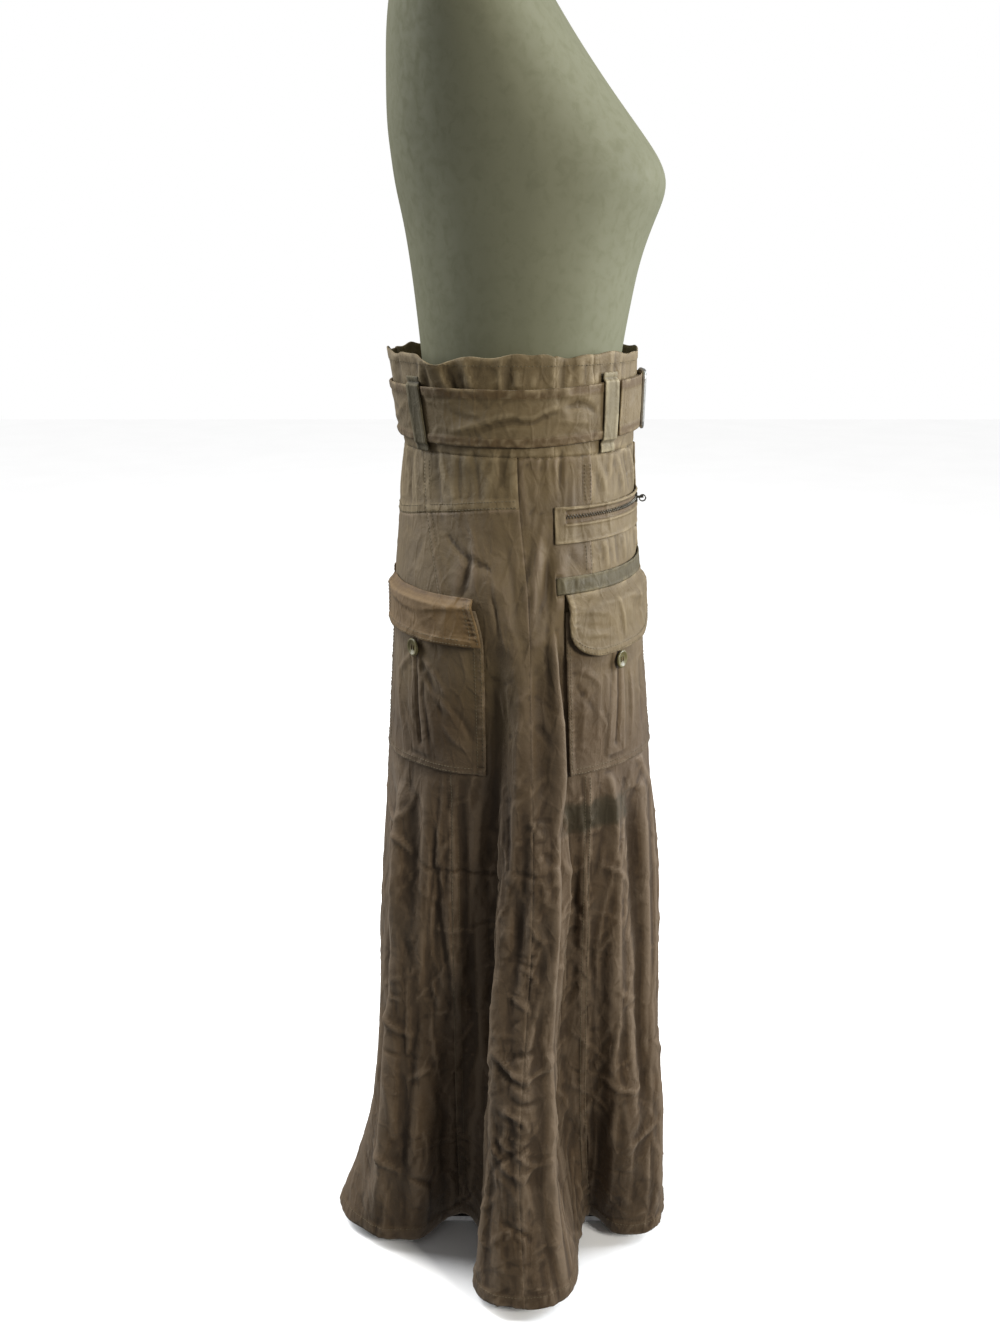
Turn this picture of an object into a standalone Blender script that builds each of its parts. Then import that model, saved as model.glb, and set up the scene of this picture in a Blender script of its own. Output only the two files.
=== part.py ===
"""A long utility skirt with a paper-bag waist, belt, cargo pockets and deep hem folds, on a dress form.

Metres, +Z up. The wearer faces -Y and the wearer's right side is at -X. The origin is the middle of the
foot's underside. Places on the cloth are given as a round coordinate, 0 at centre back, 6 at the right
side seam, 12 at centre front, 18 at the left side seam, and as a height.
"""

import math

import bmesh
import bpy
from mathutils import Matrix, Vector

# Heights of the skirt's main lines
HEM = 0.010
FLAP_SEAM = 0.8125
WAIST_SEAM = 0.937
BAND_TOP = 1.030
HIP = 0.760

# Cloth, gaps and trims
CLOTH = 0.0018
SEAM_GAP = 0.0003
LAY_GAP = 0.0004
BELT_CLOTH = 0.0022
BELT_GAP = 0.0005
OVER_BELT = BELT_GAP + BELT_CLOTH + LAY_GAP

# Round coordinates of the seams
BACK_SEAM = 3
SIDE_SEAM = 6
FRONT_SEAM = 9
CENTRE_FRONT = 12
ROUND = 24
BAND_SPLIT = 7.5

# One row for each station of the right half. Columns: waist angle and hip angle from centre back, in
# degrees, and how many columns of points lead to the next station
STATIONS = (
    (0, 0, 2),
    (13, 24, 3),
    (26, 39, 3),
    (38, 55, 4),
    (55, 78, 3),
    (72, 85, 3),
    (88, 94, 3),
    (99, 103, 2),
    (111, 109, 3),
    (124, 124, 3),
    (141, 141, 3),
    (160, 160, 2),
    (180, 180, 0),
)

# Oval rings of the fitted part. Columns: height, half width, back depth, front depth
SKIRT_RINGS = (
    (0.760, 0.1730, 0.1300, 0.1250),
    (0.8125, 0.1605, 0.1285, 0.1225),
    (0.828, 0.1560, 0.1270, 0.1210),
    (0.856, 0.1480, 0.1245, 0.1190),
    (0.874, 0.1438, 0.1225, 0.1180),
    (0.890, 0.1405, 0.1210, 0.1172),
    (0.915, 0.1365, 0.1185, 0.1160),
    (0.937, 0.1350, 0.1172, 0.1150),
    (0.977, 0.1350, 0.1240, 0.1170),
    (1.030, 0.1380, 0.1320, 0.1165),
)

# Folds below the hip, a row for each station of the right half. Columns: the heights in FOLD_HEIGHTS,
# each with (out from the middle, back)
FOLD_HEIGHTS = (0.760, 0.480, 0.200, 0.010)
FOLDS = (
    ((0.000, 0.130), (0.000, 0.149), (0.000, 0.165), (0.000, 0.215)),
    ((0.070, 0.118), (0.075, 0.135), (0.070, 0.148), (0.055, 0.178)),
    ((0.107, 0.098), (0.105, 0.105), (0.092, 0.115), (0.066, 0.118)),
    ((0.137, 0.072), (0.118, 0.070), (0.075, 0.070), (0.024, 0.068)),
    ((0.161, 0.025), (0.122, 0.027), (0.095, 0.032), (0.060, 0.042)),
    ((0.170, 0.010), (0.155, 0.017), (0.150, 0.032), (0.152, 0.046)),
    ((0.173, -0.008), (0.169, -0.012), (0.171, 0.000), (0.178, -0.008)),
    ((0.170, -0.028), (0.156, -0.041), (0.150, -0.035), (0.152, -0.060)),
    ((0.161, -0.041), (0.122, -0.052), (0.095, -0.044), (0.070, -0.072)),
    ((0.141, -0.069), (0.115, -0.072), (0.076, -0.077), (0.024, -0.088)),
    ((0.106, -0.096), (0.100, -0.110), (0.087, -0.124), (0.058, -0.120)),
    ((0.062, -0.117), (0.062, -0.143), (0.060, -0.158), (0.050, -0.166)),
    ((0.000, -0.125), (0.000, -0.150), (0.000, -0.160), (0.000, -0.178)),
)

# How the left half's folds differ from the right half's at the hem, a row for each station. Columns:
# out from the middle, back
LEFT_CHANGES = (
    (0.000, 0.000),
    (0.008, -0.008),
    (-0.006, 0.006),
    (0.010, 0.004),
    (0.002, 0.006),
    (-0.003, 0.004),
    (-0.002, -0.006),
    (0.002, -0.005),
    (0.006, -0.004),
    (0.008, 0.004),
    (0.006, -0.004),
    (-0.006, 0.002),
    (0.000, 0.000),
)

# The outward crumple in the band's top edge, towards the right back
CRUMPLE_AT = 3.9
CRUMPLE_WIDTH = 0.50
CRUMPLE_OUT = 0.012
CRUMPLE_DROP = 0.016
CRUMPLE_FROM = 0.985

# Rows of points up the cloth. Columns: height at the front, at the side and at the back
ROWS = (
    (HEM, HEM, HEM),
    (0.035, 0.035, 0.035),
    (0.075, 0.075, 0.075),
    (0.120, 0.120, 0.120),
    (0.175, 0.175, 0.175),
    (0.235, 0.235, 0.235),
    (0.300, 0.300, 0.300),
    (0.370, 0.370, 0.370),
    (0.440, 0.440, 0.440),
    (0.510, 0.510, 0.510),
    (0.570, 0.570, 0.570),
    (0.627, 0.627, 0.627),
    (0.675, 0.675, 0.675),
    (0.720, 0.720, 0.720),
    (0.763, 0.763, 0.763),
    (0.796, 0.796, 0.796),
    (FLAP_SEAM, FLAP_SEAM, FLAP_SEAM),
    (0.828, 0.828, 0.826),
    (0.856, 0.856, 0.846),
    (0.874, 0.874, 0.858),
    (0.890, 0.890, 0.8686),
    (0.915, 0.915, 0.905),
    (WAIST_SEAM, WAIST_SEAM, WAIST_SEAM),
    (0.955, 0.955, 0.955),
    (0.985, 0.985, 0.985),
    (1.008, 1.008, 1.008),
    (BAND_TOP, BAND_TOP, BAND_TOP),
)
FLAP_ROW = 16
YOKE_ROW = 20
WAIST_ROW = 22
TOP_ROW = len(ROWS) - 1

# Belt and loops
BELT_LOW = 0.947
BELT_TALL = 0.051
BELT_RISE = 0.007
STRAP_START = 12.95
STRAP_END = 11.2
TAIL_START = 12.90
TAIL_END = 9.98
TAIL_RAMP = 0.55
LOOPS = (("belt_loop_1", 3.05), ("belt_loop_2", 9.6), ("belt_loop_3", 14.4), ("belt_loop_4", 20.95))
LOOP_WIDE = 0.019
LOOP_LOW = 0.9385
LOOP_TAB = 0.0045
LOOP_RISE = 0.0034
LOOP_EASE = 0.0010
BUCKLE_WIDE = 0.046
BUCKLE_WIRE = 0.0022
PRONG_WIRE = 0.0013
BUCKLE_CORNER = 0.006
BUCKLE_EASE = 0.0012

# Cargo pockets: round span, height span, fullness of the bag, and half width of its box pleat
BACK_BAG = (0.5, 3.75)
FRONT_BAG = (8.0, 11.5)
BAG_LOW = 0.627
BAG_HIGH = 0.796
BACK_FULLNESS = 0.0050
FRONT_FULLNESS = 0.0036
PLEAT_DEEP = 0.0016
PLEAT_HALF = 0.28
PLEAT_EDGE = 0.04
PLEAT_FROM = 0.639
BACK_FLAP_LOW = 0.763
BACK_FLAP_HIGH = 0.807
FRONT_FLAP_LOW = 0.752
FRONT_FLAP_HIGH = 0.8119
FLAP_CORNER = 0.034
FLAP_CLEAR = 0.0006
FLAP_STEP = BAG_HIGH + 0.0028
BUTTON_RADIUS = 0.0088
BUTTON_THICK = 0.0030
BACK_BUTTON_HEIGHT = 0.7515
FRONT_BUTTON_HEIGHT = 0.7405

# Hip strip and fly
HIP_BAND = (7.5, 11.98)
HIP_BAND_LOW = 0.8128
HIP_BAND_HIGH = 0.8278
FLY = (12.03, 12.85)
FLY_LOW = 0.8290
FLY_HIGH = 0.9345

# Hip zip pockets
ZIP_RIGHT = (7.5, 11.97)
ZIP_LEFT = (12.93, 16.5)
ZIP_LOW = 0.8582
ZIP_HIGH = 0.8915
GROOVE_LOW = 0.8760
GROOVE_HIGH = 0.8880
GROOVE_FLOOR = 0.0012
ZIP_PROUD = 0.0024
GROOVE_END = 8.0
RIGHT_GROOVE_END = 11.85
LEFT_GROOVE_END = 13.05
RIGHT_SLIDER_AT = 11.62
LEFT_SLIDER_AT = 13.38
SLIDER_LONG = 0.0088
SLIDER_TALL = 0.0086
SLIDER_THICK = 0.0022
ARCH_REACH = 0.0054
ARCH_SPAN = 0.0060
ARCH_BAR = 0.0013
ARCH_SINK = 0.0004
PULL_RADIUS = 0.0032
PULL_WIRE = 0.0007

# Rings of the form. Columns: height, half width, how far back its middle is, half depth
FORM_RINGS = (
    (0.6620, 0.1020, 0.002, 0.0720),
    (0.6660, 0.1220, 0.003, 0.0850),
    (0.6750, 0.1370, 0.003, 0.0950),
    (0.7000, 0.1475, 0.004, 0.1020),
    (0.7400, 0.1525, 0.005, 0.1070),
    (0.7900, 0.1540, 0.005, 0.1100),
    (0.8280, 0.1510, 0.004, 0.1090),
    (0.8560, 0.1457, 0.003, 0.1070),
    (0.8740, 0.1415, 0.002, 0.1050),
    (0.8900, 0.1382, 0.001, 0.1030),
    (0.9150, 0.1318, 0.000, 0.0990),
    (0.9400, 0.1262, -0.001, 0.0965),
    (0.9650, 0.1232, -0.001, 0.0950),
    (1.0000, 0.1245, -0.001, 0.0975),
    (1.0310, 0.1275, -0.0015, 0.1005),
    (1.0750, 0.1320, -0.003, 0.1065),
    (1.1120, 0.1360, -0.0045, 0.1125),
    (1.1500, 0.1400, -0.008, 0.1220),
    (1.1810, 0.1425, -0.0105, 0.1315),
    (1.2060, 0.1445, -0.0035, 0.1275),
    (1.2310, 0.1470, 0.008, 0.1190),
    (1.2750, 0.1530, 0.0255, 0.1015),
    (1.3230, 0.1600, 0.0420, 0.0830),
    (1.3600, 0.1600, 0.0510, 0.0680),
    (1.3850, 0.1440, 0.0560, 0.0590),
    (1.4020, 0.1120, 0.0580, 0.0550),
    (1.4140, 0.0820, 0.0590, 0.0530),
    (1.4250, 0.0620, 0.0600, 0.0515),
    (1.4450, 0.0540, 0.0600, 0.0505),
    (1.4850, 0.0530, 0.0600, 0.0500),
    (1.4900, 0.0490, 0.0600, 0.0460),
)
POLE_RADIUS = 0.016
FOOT_THICK = 0.006
FOOT_REACH = 0.150
FOOT_HALF = 0.020

COLOURS = {
    "cloth": (0.135, 0.105, 0.063, 1.0),
    "dark_cloth": (0.085, 0.070, 0.042, 1.0),
    "golden_cloth": (0.165, 0.115, 0.062, 1.0),
    "lower_cloth": (0.098, 0.075, 0.054, 1.0),
    "form": (0.30, 0.31, 0.26, 1.0),
    "steel": (0.42, 0.42, 0.42, 1.0),
    "button": (0.12, 0.11, 0.06, 1.0),
}


def smooth(share):
    """0 to 1 with level ends."""
    share = min(max(share, 0.0), 1.0)
    return share * share * (3.0 - 2.0 * share)


def table_value(table, height, column):
    """A smooth curve through one column of a table whose first column is the height."""
    last = len(table) - 1
    if height <= table[0][0]:
        return table[0][column]
    if height >= table[last][0]:
        return table[last][column]
    row = next(k for k in range(last) if height <= table[k + 1][0])
    low, high = table[row], table[row + 1]
    span = high[0] - low[0]
    share = (height - low[0]) / span

    def slope(k):
        before, after = table[max(k - 1, 0)], table[min(k + 1, last)]
        return (after[column] - before[column]) / (after[0] - before[0])

    return hermite(low[column], high[column], slope(row) * span, slope(row + 1) * span, share)


def hermite(start, end, start_slope, end_slope, share):
    square, cube = share * share, share**3
    return (
        (2 * cube - 3 * square + 1) * start
        + (cube - 2 * square + share) * start_slope
        + (3 * square - 2 * cube) * end
        + (cube - square) * end_slope
    )


def through_stations(values, place):
    """A closed smooth curve through 24 station values, at a round coordinate."""
    station = math.floor(place)
    share = place - station
    before, low, high, after = (values[(station + k) % ROUND] for k in (-1, 0, 1, 2))
    return hermite(low, high, (high - before) / 2, (after - low) / 2, share)


def station_angle(station, height):
    """The angle from centre back of a station, between its hip angle and its waist angle."""
    waist, hip, _ = STATIONS[station]
    return math.radians(hip + (waist - hip) * smooth((height - HIP) / (WAIST_SEAM - HIP)))


def right_station(station):
    """The right half's station with the same name, and the side it is on."""
    station %= ROUND
    return (station, -1) if station <= CENTRE_FRONT else (ROUND - station, 1)


def oval(place, height, half_width, back, front):
    """A point of an oval ring, its stations at the cloth's angles."""
    across, along = [], []
    for station in range(ROUND):
        match, side = right_station(station)
        angle = station_angle(match, height)
        across.append(side * math.sin(angle))
        along.append(math.cos(angle))
    x = through_stations(across, place)
    y = through_stations(along, place)
    return x * half_width, y * (back if y > 0 else front)


def ring_point(place, height):
    sizes = [table_value(SKIRT_RINGS, height, column) for column in (1, 2, 3)]
    return oval(place, height, *sizes)


def fold_point(station, height):
    """A station's point below the hip, on a smooth curve down its row of FOLDS."""
    match, side = right_station(station)
    row = FOLDS[match]
    above = ring_point(station, FLAP_SEAM)
    out = sorted((z, point[0]) for z, point in zip(FOLD_HEIGHTS, row))
    back = sorted((z, point[1]) for z, point in zip(FOLD_HEIGHTS, row))
    out.append((FLAP_SEAM, abs(above[0])))
    back.append((FLAP_SEAM, above[1]))
    x = table_value(out, height, 1)
    y = table_value(back, height, 1)
    if side > 0:
        deep = smooth((HIP - height) / (HIP - HEM))
        x += LEFT_CHANGES[match][0] * deep
        y += LEFT_CHANGES[match][1] * deep
    return side * x, y


def skirt_point(place, height):
    """A point of the skirt's outer face, as (x, y)."""
    if height >= FLAP_SEAM:
        x, y = ring_point(place, height)
    else:
        stations = [fold_point(station, height) for station in range(ROUND)]
        x = through_stations([point[0] for point in stations], place)
        y = through_stations([point[1] for point in stations], place)
    away = min(abs(place - CRUMPLE_AT), ROUND - abs(place - CRUMPLE_AT))
    upward = smooth((height - CRUMPLE_FROM) / (BAND_TOP - CRUMPLE_FROM))
    lift = upward * math.exp(-((away / CRUMPLE_WIDTH) ** 2))
    reach = math.hypot(x, y)
    return x * (1 + CRUMPLE_OUT * lift / reach), y * (1 + CRUMPLE_OUT * lift / reach)


def row_height(row, place):
    """The height of a row of points at a round coordinate."""
    front, side, back = ROWS[row]
    match = place % ROUND
    match = match if match <= CENTRE_FRONT else ROUND - match
    if match < SIDE_SEAM:
        height = side + (back - side) * smooth(1 - match / SIDE_SEAM)
    else:
        height = side + (front - side) * smooth(match / SIDE_SEAM - 1)
    if row == TOP_ROW:
        height -= CRUMPLE_DROP * math.exp(-(((place % ROUND - CRUMPLE_AT) / CRUMPLE_WIDTH) ** 2))
    return height


def cloth_columns():
    """The round coordinates of all columns of points, from centre back round the right side."""
    steps = [row[2] for row in STATIONS[:-1]]
    places = []
    for station, count in enumerate(steps + steps[::-1]):
        places += [station + k / count for k in range(count)]
    return places


COLUMNS = cloth_columns()


def cloth_grid():
    """For each column, the points (x, y, z) and level outward normals up the cloth."""
    grid = []
    for place in COLUMNS:
        column = []
        for row in range(len(ROWS)):
            height = row_height(row, place)
            x, y = skirt_point(place, height)
            ahead = skirt_point(place + 0.05, height)
            behind = skirt_point(place - 0.05, height)
            normal = Vector((ahead[1] - behind[1], behind[0] - ahead[0], 0.0)).normalized()
            column.append((Vector((x, y, height)), normal))
        grid.append(column)
    return grid


GRID = cloth_grid()


def on_column(index, height):
    """Point and normal on one column at a height."""
    column = GRID[index % len(COLUMNS)]
    row = next((k for k in range(len(ROWS) - 2) if height <= column[k + 1][0].z), len(ROWS) - 2)
    (low, low_normal), (high, high_normal) = column[row], column[row + 1]
    share = (height - low.z) / (high.z - low.z)
    return low.lerp(high, share), low_normal.lerp(high_normal, share)


def cloth_point(place, height, out=0.0):
    """A point over the skirt's outer face, moved straight out by a distance."""
    place %= ROUND
    first = next((k for k in range(len(COLUMNS) - 1) if place < COLUMNS[k + 1] - 1e-9), len(COLUMNS) - 1)
    start = COLUMNS[first]
    end = COLUMNS[first + 1] if first + 1 < len(COLUMNS) else ROUND
    share = (place - start) / (end - start)
    point, normal = on_column(first, height)
    if share > 1e-9:
        next_point, next_normal = on_column(first + 1, height)
        point, normal = point.lerp(next_point, share), normal.lerp(next_normal, share)
    return point + normal.normalized() * out


def cloth_frame(place, height, out):
    """Location and axes on the cloth: along it, up it and out of it."""
    step = 0.004
    along = cloth_point(place + 0.1, height) - cloth_point(place - 0.1, height)
    along.z = 0.0
    along.normalize()
    up = (cloth_point(place, height + step) - cloth_point(place, height - step)).normalized()
    outward = along.cross(up).normalized()
    return cloth_point(place, height, out), along, outward.cross(along), outward


def columns_between(start, end, extra=()):
    """The cloth's own columns from start to end, with the two ends and any extra ones."""
    places = {round(start, 6), round(end, 6)} | {round(place, 6) for place in extra}
    for turn in (0, ROUND):
        places |= {round(place + turn, 6) for place in COLUMNS if start < place + turn < end}
    return sorted(places)


def shift_along(place, height, distance):
    """The round coordinate a distance further round the cloth at a height."""
    step = 0.05 if distance > 0 else -0.05
    speed = (cloth_point(place + step, height) - cloth_point(place, height)).length / abs(step)
    return place + distance / speed


def make_material(name, colour, roughness, metallic=0.0):
    material = bpy.data.materials.new(name)
    material.use_nodes = True
    shader = material.node_tree.nodes["Principled BSDF"]
    shader.inputs["Base Color"].default_value = colour
    shader.inputs["Roughness"].default_value = roughness
    shader.inputs["Metallic"].default_value = metallic
    material.diffuse_color = colour
    return material


def add_object(name, mesh, colour, roughness=0.85, metallic=0.0):
    """An object in the part's collection with a material of its own."""
    mesh.materials.append(make_material(name, COLOURS[colour], roughness, metallic))
    item = bpy.data.objects.new(name, mesh)
    bpy.data.collections["utility_skirt"].objects.link(item)
    return item


def cloth_solid(name, places, heights, inner, outer, colour, trim=SEAM_GAP / 2):
    """A wall of cloth over a span of the skirt, as a loft of its outer and inner faces.

    heights holds one function of the round coordinate for each row; inner and outer give how far each face
    stands out at (place, height). Its four edges are drawn in by trim.
    """
    rows, wide = len(heights), len(places)
    points = []
    for face in (outer, inner):
        for k, height_at in enumerate(heights):
            lift = trim if k == 0 else -trim if k == rows - 1 else 0.0
            for i, place in enumerate(places):
                height = height_at(place) + lift
                if i == 0:
                    place = shift_along(place, height, trim)
                elif i == wide - 1:
                    place = shift_along(place, height, -trim)
                points.append(cloth_point(place, height, face(place, height)))
    inside = rows * wide
    faces = []
    for k in range(rows - 1):
        for i in range(wide - 1):
            a, b = k * wide + i, k * wide + i + 1
            c, d = b + wide, a + wide
            faces += [(a, b, c), (a, c, d)]
            faces += [(inside + a, inside + c, inside + b), (inside + a, inside + d, inside + c)]
    for i in range(wide - 1):
        low, high = i, (rows - 1) * wide + i
        faces += [(low, inside + low, inside + low + 1), (low, inside + low + 1, low + 1)]
        faces += [(high, high + 1, inside + high + 1), (high, inside + high + 1, inside + high)]
    for k in range(rows - 1):
        left, right = k * wide, k * wide + wide - 1
        inner_left, inner_right = inside + left, inside + right
        faces += [(left, left + wide, inner_left + wide), (left, inner_left + wide, inner_left)]
        faces += [(right, inner_right, inner_right + wide), (right, inner_right + wide, right + wide)]
    mesh = bpy.data.meshes.new(name)
    mesh.from_pydata(points, [], faces)
    return add_object(name, mesh, colour)


def at_row(row):
    return lambda place: row_height(row, place)


def level(height):
    return lambda place: height


def wall_inside(place, height):
    return -CLOTH


def wall_outside(place, height):
    return 0.0


def panel(name, start, end, low_row, high_row, colour):
    """A body panel between two round coordinates and two rows."""
    heights = [at_row(row) for row in range(low_row, high_row + 1)]
    return cloth_solid(name, columns_between(start, end), heights, wall_inside, wall_outside, colour)


def laid(gap, thick):
    """The two face functions of a piece that lies a gap over the cloth."""
    return (lambda place, height: gap), (lambda place, height: gap + thick)


def both_sides(name, start, end, make):
    """Calls make for the right piece and for its mirror place on the left."""
    make(name + "_right", start, end)
    make(name + "_left", ROUND - end, ROUND - start)


def make_body():
    """Yokes, gores and waistband."""
    def of_rows(low_row, high_row, colour):
        return lambda name, start, end: panel(name, start, end, low_row, high_row, colour)

    panel("yoke_back", ROUND - BACK_SEAM, ROUND + BACK_SEAM, YOKE_ROW, WAIST_ROW, "cloth")
    both_sides("gore_back", 0, BACK_SEAM, of_rows(0, YOKE_ROW, "lower_cloth"))
    both_sides("gore_side_back", BACK_SEAM, SIDE_SEAM, of_rows(0, YOKE_ROW, "lower_cloth"))
    both_sides("yoke_side", BACK_SEAM, SIDE_SEAM, of_rows(YOKE_ROW, WAIST_ROW, "cloth"))
    both_sides("gore_side_front", SIDE_SEAM, FRONT_SEAM, of_rows(0, WAIST_ROW, "lower_cloth"))
    both_sides("gore_front", FRONT_SEAM, CENTRE_FRONT, of_rows(0, FLAP_ROW, "lower_cloth"))
    both_sides("front_upper", FRONT_SEAM, CENTRE_FRONT, of_rows(FLAP_ROW, WAIST_ROW, "cloth"))
    band = of_rows(WAIST_ROW, TOP_ROW, "cloth")
    band("waistband_back", ROUND - BAND_SPLIT, ROUND + BAND_SPLIT)
    both_sides("waistband_side", BAND_SPLIT, FRONT_SEAM, band)
    both_sides("waistband_front", FRONT_SEAM, CENTRE_FRONT, band)


def front_share(place):
    """0 at the back and sides, 1 at centre front."""
    match, _ = right_place(place)
    return smooth((match - SIDE_SEAM) / SIDE_SEAM)


def right_place(place):
    place %= ROUND
    return (place, -1) if place <= CENTRE_FRONT else (ROUND - place, 1)


def belt_low(place):
    return BELT_LOW + BELT_RISE * front_share(place)


def belt_high(place):
    return belt_low(place) + BELT_TALL


def belt_middle(place):
    return (belt_low(place) + belt_high(place)) / 2


def tail_gap(place, height):
    """The tail starts level with the strap left of the buckle and rises over the strap's other end."""
    return BELT_GAP + (OVER_BELT - BELT_GAP) * smooth((TAIL_START - place) / TAIL_RAMP)


def make_belt():
    inner, outer = laid(BELT_GAP, BELT_CLOTH)
    strap = columns_between(STRAP_START, STRAP_END + ROUND)
    cloth_solid("belt_strap", strap, [belt_low, belt_middle, belt_high], inner, outer, "cloth")
    tail = columns_between(TAIL_END, TAIL_START, (TAIL_START - TAIL_RAMP,))
    cloth_solid(
        "belt_tail",
        tail,
        [belt_low, belt_middle, belt_high],
        tail_gap,
        lambda place, height: tail_gap(place, height) + CLOTH,
        "cloth",
    )
    for name, place in LOOPS:
        make_loop(name, place)
    make_buckle()


def make_loop(name, middle):
    """A belt loop: sewn down below and above the belt, and clear of it between."""
    height = belt_middle(middle)
    start = shift_along(middle, height, -LOOP_WIDE / 2)
    end = shift_along(middle, height, LOOP_WIDE / 2)
    low = belt_low(middle) - LOOP_EASE
    high = belt_high(middle) + LOOP_EASE
    rows = (LOOP_LOW, low - LOOP_RISE, low, high, high + LOOP_RISE, high + LOOP_RISE + LOOP_TAB)

    def gap(place, z):
        over = smooth((z - rows[1]) / LOOP_RISE) * smooth((rows[4] - z) / LOOP_RISE)
        return LAY_GAP + OVER_BELT * over

    cloth_solid(
        name,
        columns_between(start, end, (middle,)),
        [level(z) for z in rows],
        gap,
        lambda place, z: gap(place, z) + CLOTH,
        "dark_cloth" if middle in (LOOPS[0][1], LOOPS[3][1]) else "cloth",
    )


def rod(name, route, radius, closed, colour="steel", corners=2):
    """A round bar along a list of points."""
    curve = bpy.data.curves.new(name, "CURVE")
    curve.dimensions = "3D"
    curve.bevel_depth = radius
    curve.bevel_resolution = corners
    curve.use_fill_caps = not closed
    spline = curve.splines.new("POLY")
    spline.points.add(len(route) - 1)
    for spot, place in zip(spline.points, route):
        spot.co = (*place, 1.0)
    spline.use_cyclic_u = closed
    return add_object(name, curve, colour, roughness=0.35, metallic=0.9)


def make_buckle():
    """A rounded metal frame bent to the waist, over the tail, and its prong."""
    height = belt_middle(CENTRE_FRONT)
    half_tall = BELT_TALL / 2 + BUCKLE_EASE
    half_wide = BUCKLE_WIDE / 2
    out = OVER_BELT + CLOTH + LAY_GAP + BUCKLE_WIRE
    corners = []
    for quarter in range(4):
        centre_x = (half_wide - BUCKLE_CORNER) * (1 if quarter in (0, 3) else -1)
        centre_z = (half_tall - BUCKLE_CORNER) * (1 if quarter in (0, 1) else -1)
        for step in range(4):
            angle = math.radians(90 * quarter + 30 * step)
            across = centre_x + BUCKLE_CORNER * math.cos(angle)
            corners.append((across, centre_z + BUCKLE_CORNER * math.sin(angle)))
        if quarter in (0, 2):
            corners += [(share * centre_x, corners[-1][1]) for share in (0.5, 0.0, -0.5)]
    route = []
    for across, up in corners:
        route.append(cloth_point(shift_along(CENTRE_FRONT, height, across), height + up, out))
    rod("belt_buckle", route, BUCKLE_WIRE, True)
    reach = half_wide - BUCKLE_WIRE - SEAM_GAP - PRONG_WIRE
    line = [reach * (k / 3 - 1) for k in range(7)]
    lift = OVER_BELT + CLOTH + LAY_GAP + PRONG_WIRE
    prong = [cloth_point(shift_along(CENTRE_FRONT, height, across), height, lift) for across in line]
    rod("belt_prong", prong, PRONG_WIRE, False, corners=1)


def bag_faces(span, fullness):
    """The face functions of a cargo bag, flat at its sewn edges, full in the middle, with a box pleat."""
    start, end = span
    middle = (start + end) / 2

    def rest(place, height):
        across = math.sin(math.pi * min(max((place - start) / (end - start), 0.0), 1.0))
        upward = smooth((height - BAG_LOW) / (0.45 * (BAG_HIGH - BAG_LOW)))
        return LAY_GAP + fullness * across**0.7 * upward

    def inner(place, height):
        raised = abs(place - middle) < PLEAT_HALF + PLEAT_EDGE / 2 and height > PLEAT_FROM
        return rest(place, height) + (PLEAT_DEEP if raised else 0.0)

    return rest, inner


def make_cargo(name, span, fullness, flap_shape, button_height, flap_colour):
    """A bag with a box pleat, its flap and its button."""
    start, end = span
    flap_low, flap_high, corner = flap_shape
    middle = (start + end) / 2
    rest, inner = bag_faces(span, fullness)
    edges = [middle + side * (PLEAT_HALF + step) for side in (-1, 1) for step in (0.0, PLEAT_EDGE)]
    places = columns_between(start, end, edges)
    bag_rows = [level(z) for z in (BAG_LOW, PLEAT_FROM + 0.001, 0.675, 0.720, 0.763, BAG_HIGH)]
    bag = name.replace("cargo", "bag")
    cloth_solid(bag, places, bag_rows, inner, lambda p, z: inner(p, z) + CLOTH, "lower_cloth")

    def flap_gap(place, height):
        over = rest(place, min(height, BAG_HIGH)) + PLEAT_DEEP + CLOTH + FLAP_CLEAR
        return LAY_GAP + (over - LAY_GAP) * smooth((flap_high - height) / (flap_high - FLAP_STEP))

    def flap_edge(place):
        """The flap's lower edge, rounded up at both ends."""
        run = (cloth_point(start, flap_low) - cloth_point(start + 0.25, flap_low)).length / 0.25
        near = min(place - start, end - place) * run
        if near >= corner:
            return flap_low
        return flap_low + corner - math.sqrt(corner**2 - (corner - near) ** 2)

    def between(share):
        return lambda place: flap_high + (flap_edge(place) - flap_high) * share

    top = level(FLAP_STEP)
    rows = [flap_edge, between(0.55), top, level(flap_high)]
    if corner:
        rows = [flap_edge, between(0.85), between(0.6), top, level(flap_high)]
    near = 0.12
    extra = (start + near, start + 3 * near, end - near, end - 3 * near) if corner else ()
    flap_places = columns_between(start, end, extra)
    flap = name.replace("cargo", "flap")
    cloth_solid(flap, flap_places, rows, flap_gap, lambda p, z: flap_gap(p, z) + CLOTH, flap_colour)
    button = name.replace("cargo", "button")
    make_button(button, middle, button_height, inner(middle, button_height) + CLOTH + LAY_GAP)


def make_button(name, place, height, out):
    """A round button with a raised rim and a slightly domed back."""
    profile = (
        (0.0, 0.0020),
        (0.0056, 0.0020),
        (0.0066, BUTTON_THICK),
        (BUTTON_RADIUS, 0.0026),
        (0.0086, 0.0012),
        (0.0, 0.0),
    )
    mesh = bpy.data.meshes.new(name)
    spots = [(radius, 0.0, up) for radius, up in profile]
    mesh.from_pydata(spots, [(k, k + 1) for k in range(len(spots) - 1)], [])
    button = add_object(name, mesh, "button", roughness=0.5)
    turn = button.modifiers.new("turn", "SCREW")
    turn.axis = "Z"
    turn.angle = math.tau
    turn.steps = 14
    turn.render_steps = 14
    turn.use_merge_vertices = True
    turn.merge_threshold = 0.0001
    spot, along, up, outward = cloth_frame(place, height, out)
    button.matrix_world = Matrix.Translation(spot) @ Matrix((along, up, outward)).transposed().to_4x4()
    return button


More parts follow.
